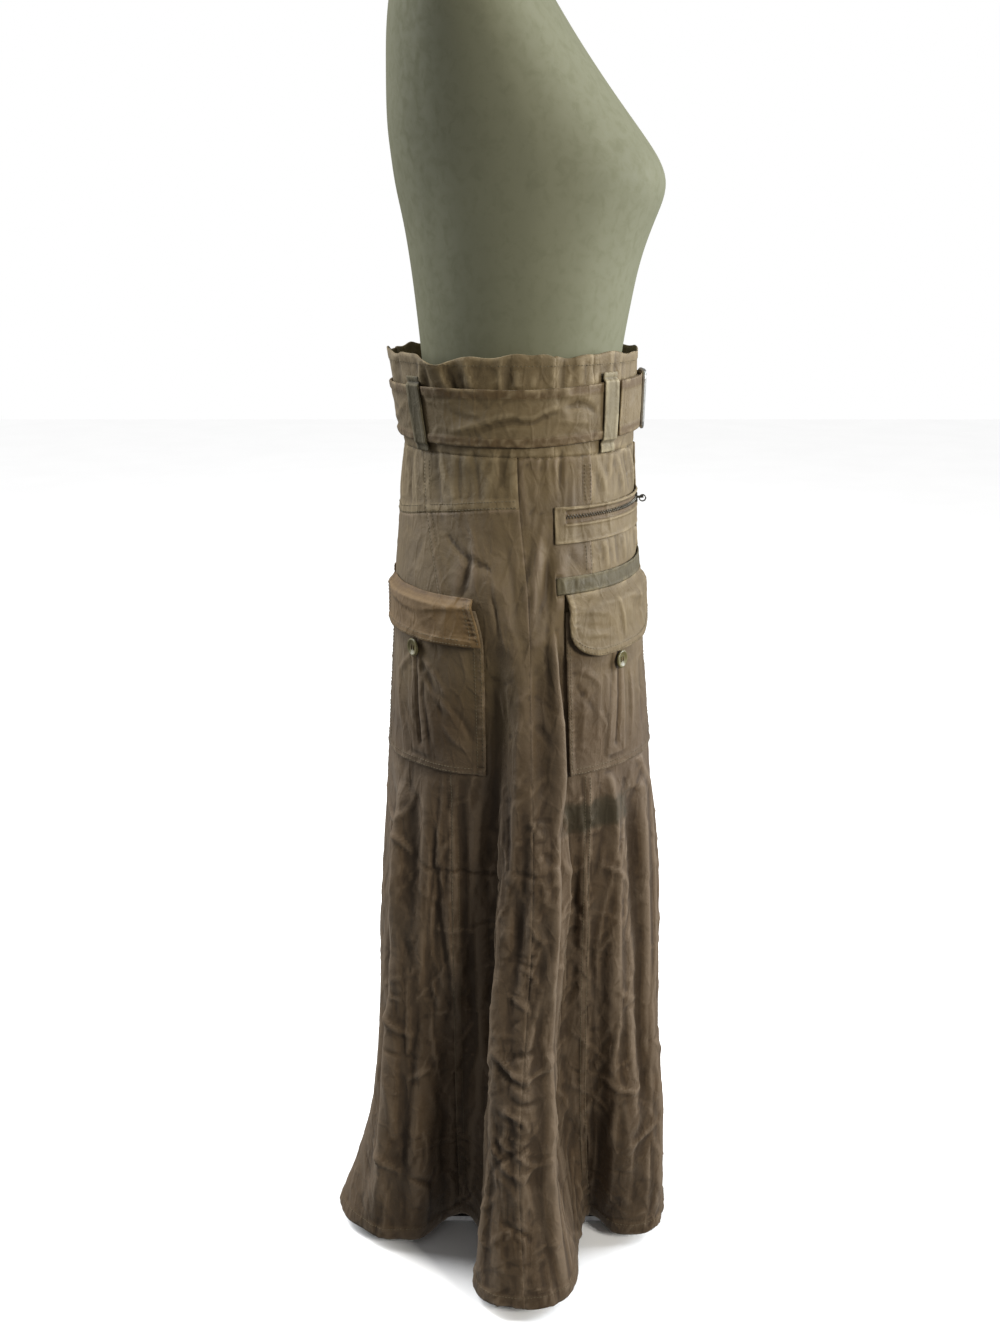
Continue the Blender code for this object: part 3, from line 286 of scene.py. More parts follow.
# Creases of the right half as seen from the side, and repeated on the left half with changes. Columns:
# round, height, round, height, how tall in mm (a trough is negative), half width in mm, bow in mm, lean
CREASES = (
    # side panel between the yoke and the pockets
    (4.1, 0.850, 3.3, 0.806, -2.2, 4.0, 2, 0.3),
    (4.3, 0.858, 3.6, 0.812, 1.8, 4.5, 3, 0.2),
    (3.5, 0.868, 4.3, 0.826, -1.4, 3.5, -2, 0.0),
    (5.0, 0.850, 4.6, 0.800, 1.0, 5.0, 1, 0.2),
    (5.5, 0.868, 5.2, 0.770, -1.2, 6.0, 3, 0.0),
    (7.0, 0.885, 5.7, 0.806, 2.0, 6.5, 5, 0.3),
    (7.2, 0.872, 6.2, 0.775, -2.0, 5.0, 5, -0.2),
    (6.6, 0.862, 6.2, 0.750, 1.4, 4.0, -3, 0.2),
    (7.6, 0.850, 7.0, 0.735, 2.2, 7.0, 4, 0.2),
    (7.2, 0.845, 6.8, 0.700, -2.2, 5.0, -4, 0.0),
    (5.0, 0.830, 5.2, 0.735, 1.2, 6.0, 0, 0.0),
    (4.5, 0.830, 4.1, 0.770, -1.4, 4.0, 2, 0.0),
    # the side lobe
    (7.04, 0.780, 6.9, 0.560, 3.4, 7.0, 5, 0.3),
    (6.5, 0.770, 6.45, 0.540, -3.0, 8.0, -5, 0.0),
    (6.0, 0.740, 5.85, 0.430, 2.2, 8.0, 6, 0.2),
    (5.6, 0.750, 5.25, 0.560, 1.8, 6.0, -4, 0.0),
    (5.5, 0.600, 5.3, 0.350, -2.2, 7.0, 5, 0.1),
    (6.9, 0.570, 6.6, 0.330, 3.0, 7.0, -4, 0.3),
    (6.4, 0.500, 6.2, 0.240, -2.4, 7.0, 4, 0.0),
    (5.0, 0.420, 5.3, 0.160, 2.6, 8.0, -5, 0.2),
    (6.0, 0.360, 5.9, 0.100, 2.0, 8.0, 6, 0.2),
    (6.7, 0.330, 6.8, 0.080, 2.8, 8.0, 6, 0.3),
    (6.3, 0.250, 6.5, 0.030, -2.4, 7.0, 4, 0.0),
    (5.4, 0.240, 5.2, 0.030, -2.2, 8.0, -4, 0.1),
    (5.1, 0.330, 6.2, 0.296, 1.8, 5.0, -5, 0.3),
    (6.1, 0.297, 6.9, 0.322, 1.6, 4.5, -3, 0.3),
    (5.2, 0.317, 6.3, 0.284, -1.6, 4.0, -5, 0.2),
    (5.4, 0.318, 6.5, 0.330, -1.6, 4.5, 4, 0.2),
    (5.2, 0.228, 6.9, 0.190, 1.5, 4.5, -4, 0.3),
    (5.3, 0.186, 6.5, 0.222, -1.4, 4.0, 4, 0.2),
    (5.6, 0.430, 6.5, 0.402, 1.0, 3.5, 3, 0.3),
    (5.8, 0.400, 6.4, 0.428, -0.9, 3.0, 2, 0.2),
    (5.3, 0.262, 6.4, 0.236, 1.6, 5.0, 4, 0.3),
    (5.6, 0.274, 6.7, 0.270, -1.4, 4.0, -3, 0.2),
    (5.2, 0.210, 6.0, 0.176, 1.6, 5.0, -4, 0.3),
    (6.0, 0.170, 6.8, 0.196, 1.4, 5.0, 4, 0.3),
    (5.5, 0.120, 6.4, 0.096, -1.6, 5.0, 3, 0.2),
    (5.3, 0.395, 6.1, 0.372, 1.2, 4.0, 3, 0.3),
    (6.2, 0.560, 6.7, 0.542, -1.0, 4.0, 2, 0.2),
    (5.3, 0.640, 5.9, 0.622, 1.0, 4.0, -3, 0.2),
    (6.2, 0.690, 6.8, 0.660, -1.2, 4.0, 3, 0.2),
    (5.9, 0.480, 6.5, 0.455, 1.2, 4.0, -3, 0.2),
    # press crease across the lobe and the back gore
    (2.2, 0.512, 4.4, 0.510, -1.2, 3.0, 2, 0.0),
    (5.0, 0.536, 6.5, 0.532, -0.9, 3.0, -2, 0.0),
    # back gores below the bag
    (1.3, 0.600, 1.15, 0.400, 3.0, 7.0, 4, 0.3),
    (1.16, 0.410, 1.1, 0.110, 3.2, 8.0, -6, 0.3),
    (0.9, 0.590, 0.75, 0.350, -2.6, 7.0, 3, 0.0),
    (2.2, 0.615, 1.9, 0.360, 2.2, 8.0, 5, 0.2),
    (2.7, 0.610, 2.5, 0.300, -2.0, 7.0, -4, 0.0),
    (1.7, 0.450, 1.6, 0.150, -2.4, 8.0, 5, 0.1),
    (2.2, 0.330, 2.0, 0.060, 2.8, 8.0, -5, 0.2),
    (2.7, 0.280, 2.6, 0.040, -2.2, 8.0, 5, 0.0),
    (0.5, 0.400, 0.5, 0.120, 2.4, 8.0, 5, 0.2),
    (0.2, 0.300, 0.1, 0.050, -2.2, 8.0, -4, 0.0),
    (0.8, 0.200, 0.9, 0.030, 2.6, 7.0, 4, 0.2),
    (1.5, 0.190, 1.6, 0.030, -2.6, 7.0, -4, 0.0),
    (0.5, 0.560, 1.4, 0.520, 1.2, 4.0, 4, 0.3),
    (0.8, 0.330, 1.7, 0.300, 1.4, 5.0, -4, 0.3),
    (1.6, 0.240, 2.6, 0.262, 1.4, 5.0, 4, 0.3),
    (0.7, 0.140, 1.6, 0.110, 1.6, 5.0, 4, 0.3),
    (1.8, 0.110, 2.5, 0.085, -1.4, 5.0, 3, 0.2),
    # behind the side lobe
    (4.0, 0.740, 3.9, 0.560, -1.6, 6.0, 3, 0.0),
    (4.4, 0.640, 4.3, 0.400, 2.0, 7.0, 4, 0.2),
    (3.5, 0.600, 3.6, 0.380, 1.6, 6.0, -4, 0.2),
    (3.7, 0.400, 3.5, 0.160, 2.2, 7.0, 4, 0.2),
    (4.2, 0.330, 4.3, 0.110, -2.0, 6.0, -3, 0.0),
    (3.3, 0.230, 3.4, 0.040, 1.8, 7.0, 3, 0.1),
    (4.6, 0.560, 5.1, 0.530, 1.0, 4.0, 3, 0.2),
    # between the side lobe and the front lobe
    (7.6, 0.760, 7.5, 0.520, -1.8, 6.0, 3, 0.0),
    (8.0, 0.620, 7.9, 0.420, 2.0, 6.0, -3, 0.2),
    (8.5, 0.600, 8.6, 0.300, 1.6, 6.0, 4, 0.2),
    (7.4, 0.440, 7.5, 0.180, 2.0, 7.0, -5, 0.2),
    (8.2, 0.330, 8.4, 0.060, -2.0, 6.0, 4, 0.0),
    (7.7, 0.240, 7.9, 0.040, 2.0, 7.0, 4, 0.2),
    (7.3, 0.560, 7.9, 0.510, 1.2, 4.0, -4, 0.2),
    # front gore below its bag
    (9.6, 0.620, 9.8, 0.460, 3.0, 6.0, 4, 0.4),
    (9.8, 0.470, 9.6, 0.300, 2.6, 7.0, -4, 0.3),
    (9.6, 0.300, 9.75, 0.060, 2.6, 7.0, 5, 0.3),
    (10.2, 0.610, 10.2, 0.420, -2.2, 6.0, 4, 0.0),
    (10.7, 0.600, 10.6, 0.330, 3.4, 6.0, -5, 0.4),
    (10.3, 0.400, 10.4, 0.130, -2.6, 7.0, 4, 0.0),
    (10.8, 0.330, 10.9, 0.040, 3.0, 7.0, 5, 0.3),
    (11.4, 0.600, 11.3, 0.300, 2.6, 7.0, 4, 0.2),
    (11.5, 0.330, 11.4, 0.050, -2.6, 8.0, -4, 0.0),
    (9.3, 0.520, 10.3, 0.480, 1.2, 4.0, 4, 0.3),
    (9.4, 0.250, 10.4, 0.225, 1.4, 5.0, -4, 0.3),
    (10.0, 0.140, 10.9, 0.175, 1.4, 5.0, 4, 0.3),
    (10.3, 0.640, 11.3, 0.560, 1.6, 5.0, 6, 0.3),
    # front drag folds under and over the zip
    (9.3, 0.872, 9.6, 0.828, 2.2, 3.0, 1, 0.3),
    (9.9, 0.872, 10.1, 0.828, -2.0, 3.5, 1, 0.0),
    (10.3, 0.872, 10.4, 0.828, 2.6, 3.0, -1, 0.3),
    (10.8, 0.870, 10.9, 0.828, -2.2, 3.5, 1, 0.0),
    (11.2, 0.870, 11.3, 0.828, 2.6, 3.2, 1, 0.3),
    (9.2, 0.930, 9.7, 0.893, 1.4, 4.0, 2, 0.2),
    (10.0, 0.935, 10.5, 0.893, 2.2, 3.5, 2, 0.3),
    (10.5, 0.936, 10.9, 0.893, -2.0, 3.5, 2, 0.0),
    (10.9, 0.936, 11.3, 0.893, 2.2, 3.2, 1, 0.3),
    # the outward crumple in the band's top edge
    (3.20, 0.992, 3.75, 1.026, 2.6, 4.0, 1, 0.3),
    (4.45, 0.990, 4.10, 1.024, -2.6, 4.0, 1, 0.0),
    (4.95, 0.988, 4.62, 1.030, 2.6, 4.5, 1, 0.3),
    (5.70, 0.990, 5.80, 1.030, -1.8, 4.5, 1, 0.0),
    # back and side yokes
    (2.2, 0.932, 2.6, 0.872, 1.4, 4.0, 2, 0.2),
    (1.6, 0.934, 1.9, 0.870, -1.6, 4.0, 2, 0.0),
    (1.0, 0.934, 1.2, 0.870, 1.6, 4.0, -2, 0.2),
    (0.5, 0.934, 0.5, 0.872, -1.4, 4.0, 2, 0.0),
    (0.1, 0.932, 0.2, 0.875, 1.4, 4.0, -2, 0.2),
    (3.6, 0.930, 4.0, 0.885, 1.2, 4.5, 3, 0.2),
    (4.6, 0.925, 4.3, 0.880, -1.0, 4.5, 2, 0.0),
    (5.4, 0.930, 5.0, 0.890, 1.0, 5.0, -3, 0.2),
)

# Gains on the height and width of the rows above: long folds below the hips, level ones lower down, the rest
LONG_FOLD, LONG_BELOW, LONG_GAIN, LONG_SPREAD = 0.11, 0.80, 1.9, 1.25
CROSS_FOLD, CROSS_BELOW, CROSS_GAIN, CROSS_SPREAD = 0.05, 0.60, 2.3, 0.85
SHORT_GAIN = 1.4

# The deep folds beside the lobes, with the same columns
DEEP_FOLDS = (
    (7.04, 0.800, 6.92, 0.600, 5.5, 8.0, 3, -0.5),
    (6.94, 0.640, 6.62, 0.380, 5.5, 9.0, -3, -0.5),
    (6.60, 0.430, 6.82, 0.140, 4.5, 9.0, 4, -0.4),
    (6.80, 0.200, 6.90, 0.020, 4.0, 9.0, 2, -0.3),
    (7.42, 0.800, 7.40, 0.560, -9.0, 7.0, 3, 0.3),
    (7.40, 0.610, 7.25, 0.330, -10.0, 8.0, -4, 0.3),
    (7.25, 0.380, 7.50, 0.060, -9.0, 9.0, 4, 0.3),
    (5.55, 0.760, 5.20, 0.520, 3.5, 9.0, 3, 0.4),
    (5.15, 0.560, 4.60, 0.300, 4.5, 10.0, -4, 0.4),
    (4.60, 0.340, 4.20, 0.060, 4.0, 10.0, 3, 0.4),
    (4.85, 0.720, 4.60, 0.470, -4.5, 9.0, 3, 0.0),
    (4.30, 0.520, 3.80, 0.200, -6.0, 10.0, -3, 0.0),
    (3.16, 0.600, 3.40, 0.330, -6.0, 9.0, 3, 0.2),
    (3.40, 0.360, 3.10, 0.050, -6.5, 10.0, -3, 0.2),
    (1.30, 0.600, 1.10, 0.300, 5.0, 10.0, 4, 0.3),
    (1.10, 0.340, 1.20, 0.040, 5.5, 11.0, -4, 0.3),
    (2.20, 0.580, 2.00, 0.180, -5.0, 11.0, 5, 0.0),
    (9.62, 0.620, 9.75, 0.330, 5.5, 8.0, 3, -0.5),
    (9.75, 0.360, 9.70, 0.050, 5.0, 9.0, -3, -0.4),
    (8.10, 0.600, 8.30, 0.300, -5.0, 9.0, 3, 0.0),
    (10.35, 0.600, 10.40, 0.250, -6.0, 9.0, 4, 0.0),
    (11.10, 0.600, 11.00, 0.300, 5.0, 8.0, -4, 0.4),
    (11.05, 0.330, 11.10, 0.040, 5.0, 9.0, 4, 0.4),
)

# Wrinkles strewn over the body cloth: how many, lowest, highest, how tall in mm, and what else is set
STREWN = (
    (330, 0.05, 0.56, 2.6, {"spread": 0.10, "long": (0.06, 0.24), "wide": (2.2, 4.4), "bow": 5.0}),
    (1300, 0.02, 0.62, 1.6, {"spread": 0.45, "long": (0.015, 0.09), "wide": (1.7, 3.2)}),
    (420, 0.02, 0.60, 1.5, {"turned": 1.25, "spread": 0.3, "long": (0.012, 0.055), "wide": (1.7, 3.0)}),
    (420, 0.60, 0.93, 0.9, {"spread": 0.5}),
    (170, 0.94, 1.02, 1.0, {}),
)

# Crumpled facets over the lattice: blur up and along it in cells, and size in mm
FACETS = ((46, 11, 2.6), (26, 7, 1.0))

# The gores' felled seams: round coordinate, and the side on which the seam is stitched down
SIDE_SEAMS = ((3, 1), (9, -1), (15, 1), (21, -1))
YOKE_SIDE, YOKE_BACK = 0.890, 0.8686
BELT_BACK, BELT_RISE, BELT_TALL = 0.947, 0.007, 0.051
PUCKER_WIDE = 2.4


def add_both(relief, row, rng):
    """A crease of the right half, and a like one on the left with its own small changes."""
    u0, z0, u1, z1, tall, wide, bow, lean = row
    relief.crease((u0, z0), (u1, z1), tall, wide, bow, lean)
    moved = rng.normal(0.0, 1.0, 6)
    relief.crease(
        (ROUND - u0 + 0.06 * moved[0], z0 + 0.006 * moved[1]),
        (ROUND - u1 + 0.06 * moved[2], z1 + 0.006 * moved[3]),
        tall * (1 + 0.18 * moved[4]),
        wide * (1 + 0.12 * abs(moved[5])),
        -bow,
        -lean,
    )


def crumples(relief, rng, count, low, high, tall, start=0.0, end=ROUND, turned=0.0, spread=0.6,
             long=(0.012, 0.06), wide=(1.7, 3.4), bow=2.5):
    """Wrinkles strewn over a stretch of cloth, uneven in length, depth and spacing.

    turned is their mean angle from upright and spread its variation, in radians.
    """
    for _ in range(count):
        place, height = rng.uniform(start, end), rng.uniform(low, high)
        pace = float(speed(place, min(height, BAND_TOP)))
        turn = rng.normal(turned * rng.choice((-1, 1)), spread)
        length = long[0] + (long[1] - long[0]) * rng.random() ** 1.6
        du, dz = length * math.sin(turn) / pace / 2, length * math.cos(turn) / 2
        size = tall * (0.25 + 0.75 * rng.random()) * (1 if rng.random() < 0.55 else -1)
        relief.crease(
            (place - du, height - dz),
            (place + du, height + dz),
            size,
            rng.uniform(*wide),
            rng.normal(0.0, bow),
            rng.uniform(-0.6, 0.6),
        )


def puckers(relief, rng, places, heights, tall=0.45, reach=0.008, step=0.0085, level=False):
    """Small ridges across a stitched line, whose places and heights are given as arrays."""
    pace = speed(places, np.minimum(heights, BAND_TOP))
    run = np.hypot(np.diff(places) * pace[1:], np.diff(heights))
    total = np.concatenate([[0.0], np.cumsum(run)])
    at = 0.0
    while at < total[-1]:
        place = float(np.interp(at, total, places))
        height = float(np.interp(at, total, heights))
        here = float(speed(place, min(height, BAND_TOP)))
        size = tall * (0.4 + 0.9 * rng.random())
        if level:
            du, dz = rng.normal(0.0, 0.25) * reach / here, reach
        else:
            du, dz = reach / here, rng.normal(0.0, 0.25) * reach
        relief.crease((place - du, height - dz), (place + du, height + dz), size, PUCKER_WIDE)
        at += step * (0.7 + 0.6 * rng.random())


def half_round(place):
    """The round coordinate of the matching place on the right half."""
    place = np.asarray(place, float) % ROUND
    return np.where(place <= 12, place, ROUND - place)


def yoke_line(place):
    """The height of the seam under the back and side yokes."""
    match = half_round(place)
    back = YOKE_SIDE + (YOKE_BACK - YOKE_SIDE) * smooth(1 - match / 6)
    return np.where(match < 6, back, YOKE_SIDE)


def belt_low(place):
    """The belt's lower edge, a little higher in front."""
    return BELT_BACK + BELT_RISE * smooth((half_round(place) - 6) / 6)


def belt_high(place):
    return belt_low(place) + BELT_TALL


def cloudy(rng, tall, across):
    """Smooth noise over the lattice with a spread of 1: tall and across are its blur in rows and columns."""
    white = rng.standard_normal((len(RELIEF_HEIGHTS), RELIEF_COLUMNS))
    row_waves = np.fft.fftfreq(len(RELIEF_HEIGHTS))[:, None]
    column_waves = np.fft.rfftfreq(RELIEF_COLUMNS)[None, :]
    keep = np.exp(-2 * math.pi**2 * ((tall * row_waves) ** 2 + (across * column_waves) ** 2))
    found = np.fft.irfft2(np.fft.rfft2(white) * keep, white.shape)
    return found / found.std()


def networks(relief, rng):
    """Crumpled facets: sharp soft-ended ridges and troughs along the zero lines of smooth noise."""
    loose = 0.16 + 0.84 * smooth((0.70 - RELIEF_HEIGHTS) / 0.12)[:, None]
    for tall, across, size in FACETS:
        for sign in (1, -1):
            facets = np.minimum(np.abs(cloudy(rng, tall, across)), 1.3)
            where = smooth(0.35 + 0.6 * cloudy(rng, 40, 24))
            relief.field += sign * size * (0.75 - facets) * where * loose


def make_relief():
    """The relief of the body cloth."""
    rng = np.random.default_rng(11)
    relief = Relief()
    for u0, z0, u1, z1, tall, wide, bow, lean in CREASES:
        gain, spread = SHORT_GAIN, 1.0
        if z0 - z1 > LONG_FOLD and z0 < LONG_BELOW:
            gain, spread = LONG_GAIN, LONG_SPREAD
        elif abs(z0 - z1) < CROSS_FOLD and z0 < CROSS_BELOW:
            gain, spread = CROSS_GAIN, CROSS_SPREAD
        add_both(relief, (u0, z0, u1, z1, tall * gain, wide * spread, bow, lean), rng)
    for row in DEEP_FOLDS:
        add_both(relief, row, rng)
    networks(relief, rng)
    for count, low, high, tall, more in STREWN:
        crumples(relief, rng, count, low, high, tall, **more)
    for seam, _ in SIDE_SEAMS:
        heights = np.arange(0.02, 0.93, 0.004)
        puckers(relief, rng, np.full(len(heights), float(seam)), heights)
    for start, end in ((0.0, 6.0), (18.0, 24.0)):
        places = np.arange(start, end, 0.05)
        puckers(relief, rng, places, yoke_line(places), level=True)
    places = np.arange(0.0, ROUND, 0.05)
    puckers(relief, rng, places, np.full(len(places), WAIST_SEAM - 0.004), 0.7, 0.008, level=True)
    puckers(relief, rng, places, np.full(len(places), HEM + 0.012), 1.0, 0.010, level=True)
    for place in np.arange(0.0, ROUND, 0.36) + rng.normal(0.0, 0.08, 67):
        size = rng.uniform(-1.6, 1.8)
        drop = 0.02 + 0.045 * rng.random()
        foot = (place + rng.normal(0, 0.15), WAIST_SEAM - drop)
        relief.crease((place, WAIST_SEAM + 0.012), foot, size * 1.3, 3.2)
        rise = 0.985 + 0.045 * rng.random()
        crown = (place + rng.normal(0, 0.12), rise + 0.012)
        relief.crease((place, 0.975), crown, size * 1.7, 3.8, 1.5, 0.3)
    return relief


BODY = make_relief()
BACK_BAG = (0.5, 3.75)
FRONT_BAG = (8.0, 11.5)
BAG_LOW, BAG_HIGH = 0.627, 0.796
STRIPS = {"right": (7.5, 11.98), "left": (12.02, 16.5)}
STRIP_LOW, STRIP_HIGH = 0.8128, 0.8278
PATCHES = {"right": (7.5, 11.97), "left": (12.93, 16.5)}
PATCH_LOW, PATCH_HIGH = 0.8582, 0.8915
FLY = (12.03, 12.85)
FLY_LOW, FLY_HIGH = 0.829, 0.9345
SEAM_GAP = 0.0004
UNDER_LAID = 0.0002


def in_span(place, height, start, end, low, high, soft=0.06):
    """1 inside a stretch of cloth, easing to 0 just outside it."""
    place = np.asarray(place, float) % ROUND
    found = 0.0
    for turn in (0, ROUND):
        side = smooth((place + turn - start) / soft + 1) * smooth((end - place - turn) / soft + 1)
        found = np.maximum(found, side)
    return found * smooth((height - low) / 0.004 + 1) * smooth((high - height) / 0.004 + 1)


# What lies over the body cloth: start, end, lowest, highest, and whether it is on both sides
COVERS = (
    (*BACK_BAG, BAG_LOW, 0.807, True),
    (*FRONT_BAG, BAG_LOW, 0.812, True),
    (*STRIPS["right"], STRIP_LOW, STRIP_HIGH, True),
    (*PATCHES["right"], PATCH_LOW, PATCH_HIGH, False),
    (*PATCHES["left"], PATCH_LOW, PATCH_HIGH, False),
    (*FLY, FLY_LOW, FLY_HIGH, False),
)


def covered(place, height):
    """1 where a pocket, strip or belt lies over the body cloth."""
    found = in_span(place, height, 0.0, ROUND, BELT_BACK, 0.999)
    for start, end, low, high, both in COVERS:
        found = np.maximum(found, in_span(place, height, start, end, low, high))
        if both:
            found = np.maximum(found, in_span(place, height, ROUND - end, ROUND - start, low, high))
    return found


def seam_profile(off, tall, wide):
    """A felled seam's step and the groove beside it, at distances from its line, in metres."""
    step = tall * smooth(off / 0.0008 + 1) * smooth((wide - off) / 0.0012)
    return step - 0.0007 * np.exp(-(((off + 0.0006) / 0.0009) ** 2))


def felled(place, height):
    """The step and welt of the felled seams, in metres, over the body cloth."""
    place, height = np.broadcast_arrays(np.asarray(place, float) % ROUND, np.asarray(height, float))
    pace = speed(place, np.minimum(height, BAND_TOP))
    lift = np.zeros(place.shape)
    for seam, side in SIDE_SEAMS:
        lift += seam_profile((place - seam) * pace * side, 0.0008, 0.0085)
    yoke = seam_profile(height - yoke_line(place), 0.0009, 0.0095)
    lift += np.where(half_round(place) < 6, yoke, 0.0)
    lift -= 0.0007 * np.exp(-(((WAIST_SEAM - height) / 0.0012) ** 2))
    lift += 0.0007 * smooth((height - 1.0) / 0.001) * smooth((height - 1.019) / 0.0015)
    lift += 0.0007 * smooth((HEM + 0.022 - height) / 0.0015)
    return lift


def body_lift(place, height):
    """How far the body cloth's outer face stands out, in metres."""
    free = BODY.at(place, height) + felled(place, height)
    hidden = covered(place, height)
    return free * (1 - hidden) + np.minimum(free, -UNDER_LAID) * hidden


# Meshes


def build_mesh(name, points, quads):
    mesh = bpy.data.meshes.new(name)
    mesh.vertices.add(len(points))
    mesh.vertices.foreach_set("co", np.asarray(points, np.float32).ravel())
    mesh.loops.add(quads.size)
    mesh.loops.foreach_set("vertex_index", np.asarray(quads, np.int32).ravel())
    mesh.polygons.add(len(quads))
    mesh.polygons.foreach_set("loop_start", np.arange(0, quads.size, quads.shape[1], dtype=np.int32))
    mesh.update(calc_edges=True)
    mesh.validate()
    mesh.shade_smooth()
    return mesh


def shell_quads(rows, columns):
    """Outer face, inner face and a rounded rim for two grids of points and a border loop between them."""
    a = np.arange(rows * columns).reshape(rows, columns)
    outer = np.stack([a[:-1, :-1], a[:-1, 1:], a[1:, 1:], a[1:, :-1]], -1).reshape(-1, 4)
    inner = outer[:, ::-1] + rows * columns
    border = np.concatenate([a[0, :], a[1:, -1], a[-1, -2::-1], a[-2:0:-1, 0]])
    middle = 2 * rows * columns + np.arange(len(border))
    following = np.roll(border, -1)
    middle_next = np.roll(middle, -1)
    rim_out = np.stack([border, middle, middle_next, following], -1)
    rim_in = np.stack([middle, border + rows * columns, following + rows * columns, middle_next], -1)
    return np.concatenate([outer, inner, rim_out, rim_in]), border


def grid_normals(grid):
    """Normals of a grid of points, rows up the cloth and columns along it."""
    along = np.gradient(grid, axis=1)
    upward = np.gradient(grid, axis=0)
    normal = np.cross(along, upward)
    return normal / np.linalg.norm(normal, axis=-1, keepdims=True)


def shell(name, grid, thick, round_edge=0.35):
    """A closed shell whose outer face is a grid of points."""
    rows, columns = grid.shape[:2]
    inner = grid - grid_normals(grid) * thick
    quads, border = shell_quads(rows, columns)
    flat = grid.reshape(-1, 3)
    i, j = np.divmod(border, columns)
    inside = np.clip(i, 1, rows - 2) * columns + np.clip(j, 1, columns - 2)
    away = flat[border] - flat[inside]
    away /= np.linalg.norm(away, axis=-1, keepdims=True)
    rim = (flat[border] + inner.reshape(-1, 3)[border]) / 2 + away * thick * round_edge
    return build_mesh(name, np.concatenate([flat, inner.reshape(-1, 3), rim]), quads), border


def even_places(start, end, height, step):
    """Round coordinates from start to end, evenly spaced along the cloth at a height."""
    fine = np.linspace(start, end, 241)
    pace = speed(fine, height)
    total = np.concatenate([[0.0], np.cumsum((pace[1:] + pace[:-1]) / 2 * np.diff(fine))])
    count = max(int(round(total[-1] / step)), 3)
    return np.interp(np.linspace(0, total[-1], count + 1), total, fine), total[-1]


PIECES = {}
# Height over the smoothed cloth that gets the full painted highlight on a ridge, and the depth under it that
# gets the full painted shade in a trough
FULL_RIDGE = 0.0007
RIM_WEAR = 0.006


def add_object(name, data):
    """A new object in the scene."""
    item = bpy.data.objects.new(name, data)
    bpy.context.scene.collection.objects.link(item)
    return item


def eased(values, passes):
    """A grid averaged with its neighbours some times over."""
    for _ in range(passes):
        padded = np.pad(values, 1, mode="edge")
        level_mean = (padded[1:-1, :-2] + padded[1:-1, 1:-1] + padded[1:-1, 2:]) / 3
        upright = (padded[:-2, 1:-1] + padded[1:-1, 1:-1] + padded[2:, 1:-1]) / 3
        values = (level_mean + upright) / 2
    return values


def level(height):
    return lambda place: np.full(np.shape(place), float(height))


def rim_distance(shape, rise, step):
    """How far each point of a grid is from the grid's nearest border, in metres."""
    up, across = (np.minimum(np.arange(count), np.arange(count)[::-1]) for count in shape)
    return np.minimum(up[:, None] * rise, across[None, :] * step)


def cloth_piece(name, start, end, low, high, lift, thick=0.0018, step=0.003, rise=0.003,
                wide_at=None, tone=None):
    """A piece of cloth over a span of the skirt, at lift over the skirt's outer face.

    low and high give its lower and upper edges' heights at round coordinates.
    """
    middle = (start + end) / 2
    low_middle, high_middle = float(low(np.array(middle))), float(high(np.array(middle)))
    at = wide_at if wide_at is not None else (low_middle + high_middle) / 2
    places, _ = even_places(start, end, at, step)
    shares = np.linspace(0, 1, max(int(round((high_middle - low_middle) / rise)), 3) + 1)
    z = low(places)[None, :] + shares[:, None] * (high(places) - low(places))[None, :]
    u = np.broadcast_to(places[None, :], z.shape)
    out = lift(u, z)
    grid = cloth(u, z, out)
    mesh, border = shell(name, grid, thick)
    item = add_object(name, mesh)
    # ridge: the cloth's height over its smoothed self, which the material paints as highlight on ridges and
    # as shade in troughs
    ridge = np.clip((out - eased(out, 7)) / (2 * FULL_RIDGE) + 0.5, 0, 1)
    trim = np.zeros(z.shape) if tone is None else np.clip(tone(u, z), 0, 1)
    wear = np.exp(-rim_distance(z.shape, rise, step) / RIM_WEAR)
    # The wear attribute holds rim wear, the ridge value for painted highlight and painted shade, and the trim
    # tone
    facts = {"wear": (wear, ridge, trim), "weave": (u * speed(u, z.mean()), z, np.zeros(z.shape))}
    for label, values in facts.items():
        vectors = np.stack(values, -1).reshape(-1, 3)
        vectors = np.concatenate([vectors, vectors, vectors[border]])
        attribute = mesh.attributes.new(label, "FLOAT_VECTOR", "POINT")
        attribute.data.foreach_set("vector", vectors.astype(np.float32).ravel())
    line = cloth(places, np.full(places.shape, at), 0.0)
    width = float(np.linalg.norm(np.diff(line, axis=0), axis=1).sum())
    cell = np.cross(grid[:-1, 1:] - grid[:-1, :-1], grid[1:, :-1] - grid[:-1, :-1])
    area = float(np.linalg.norm(cell, axis=-1).sum())
    PIECES[name] = {"item": item, "area": area, "width": width}
    return item


def join_mesh(name, parts):
    """One mesh from many (points, quads) arrays."""
    points, quads, count = [], [], 0
    for spots, faces in parts:
        points.append(spots)
        quads.append(faces + count)
        count += len(spots)
    return add_object(name, build_mesh(name, np.concatenate(points), np.concatenate(quads)))


STITCH_LONG = 0.0026
STITCH_GAP = 0.0009
STITCH_RADIUS = 0.00034

# The rings of one stitch: share of its length, height and size
STITCH_RINGS = ((0.0, -0.0004, 0.15), (0.22, 0.0001, 1.0), (0.78, 0.0001, 1.0), (1.0, -0.0004, 0.15))


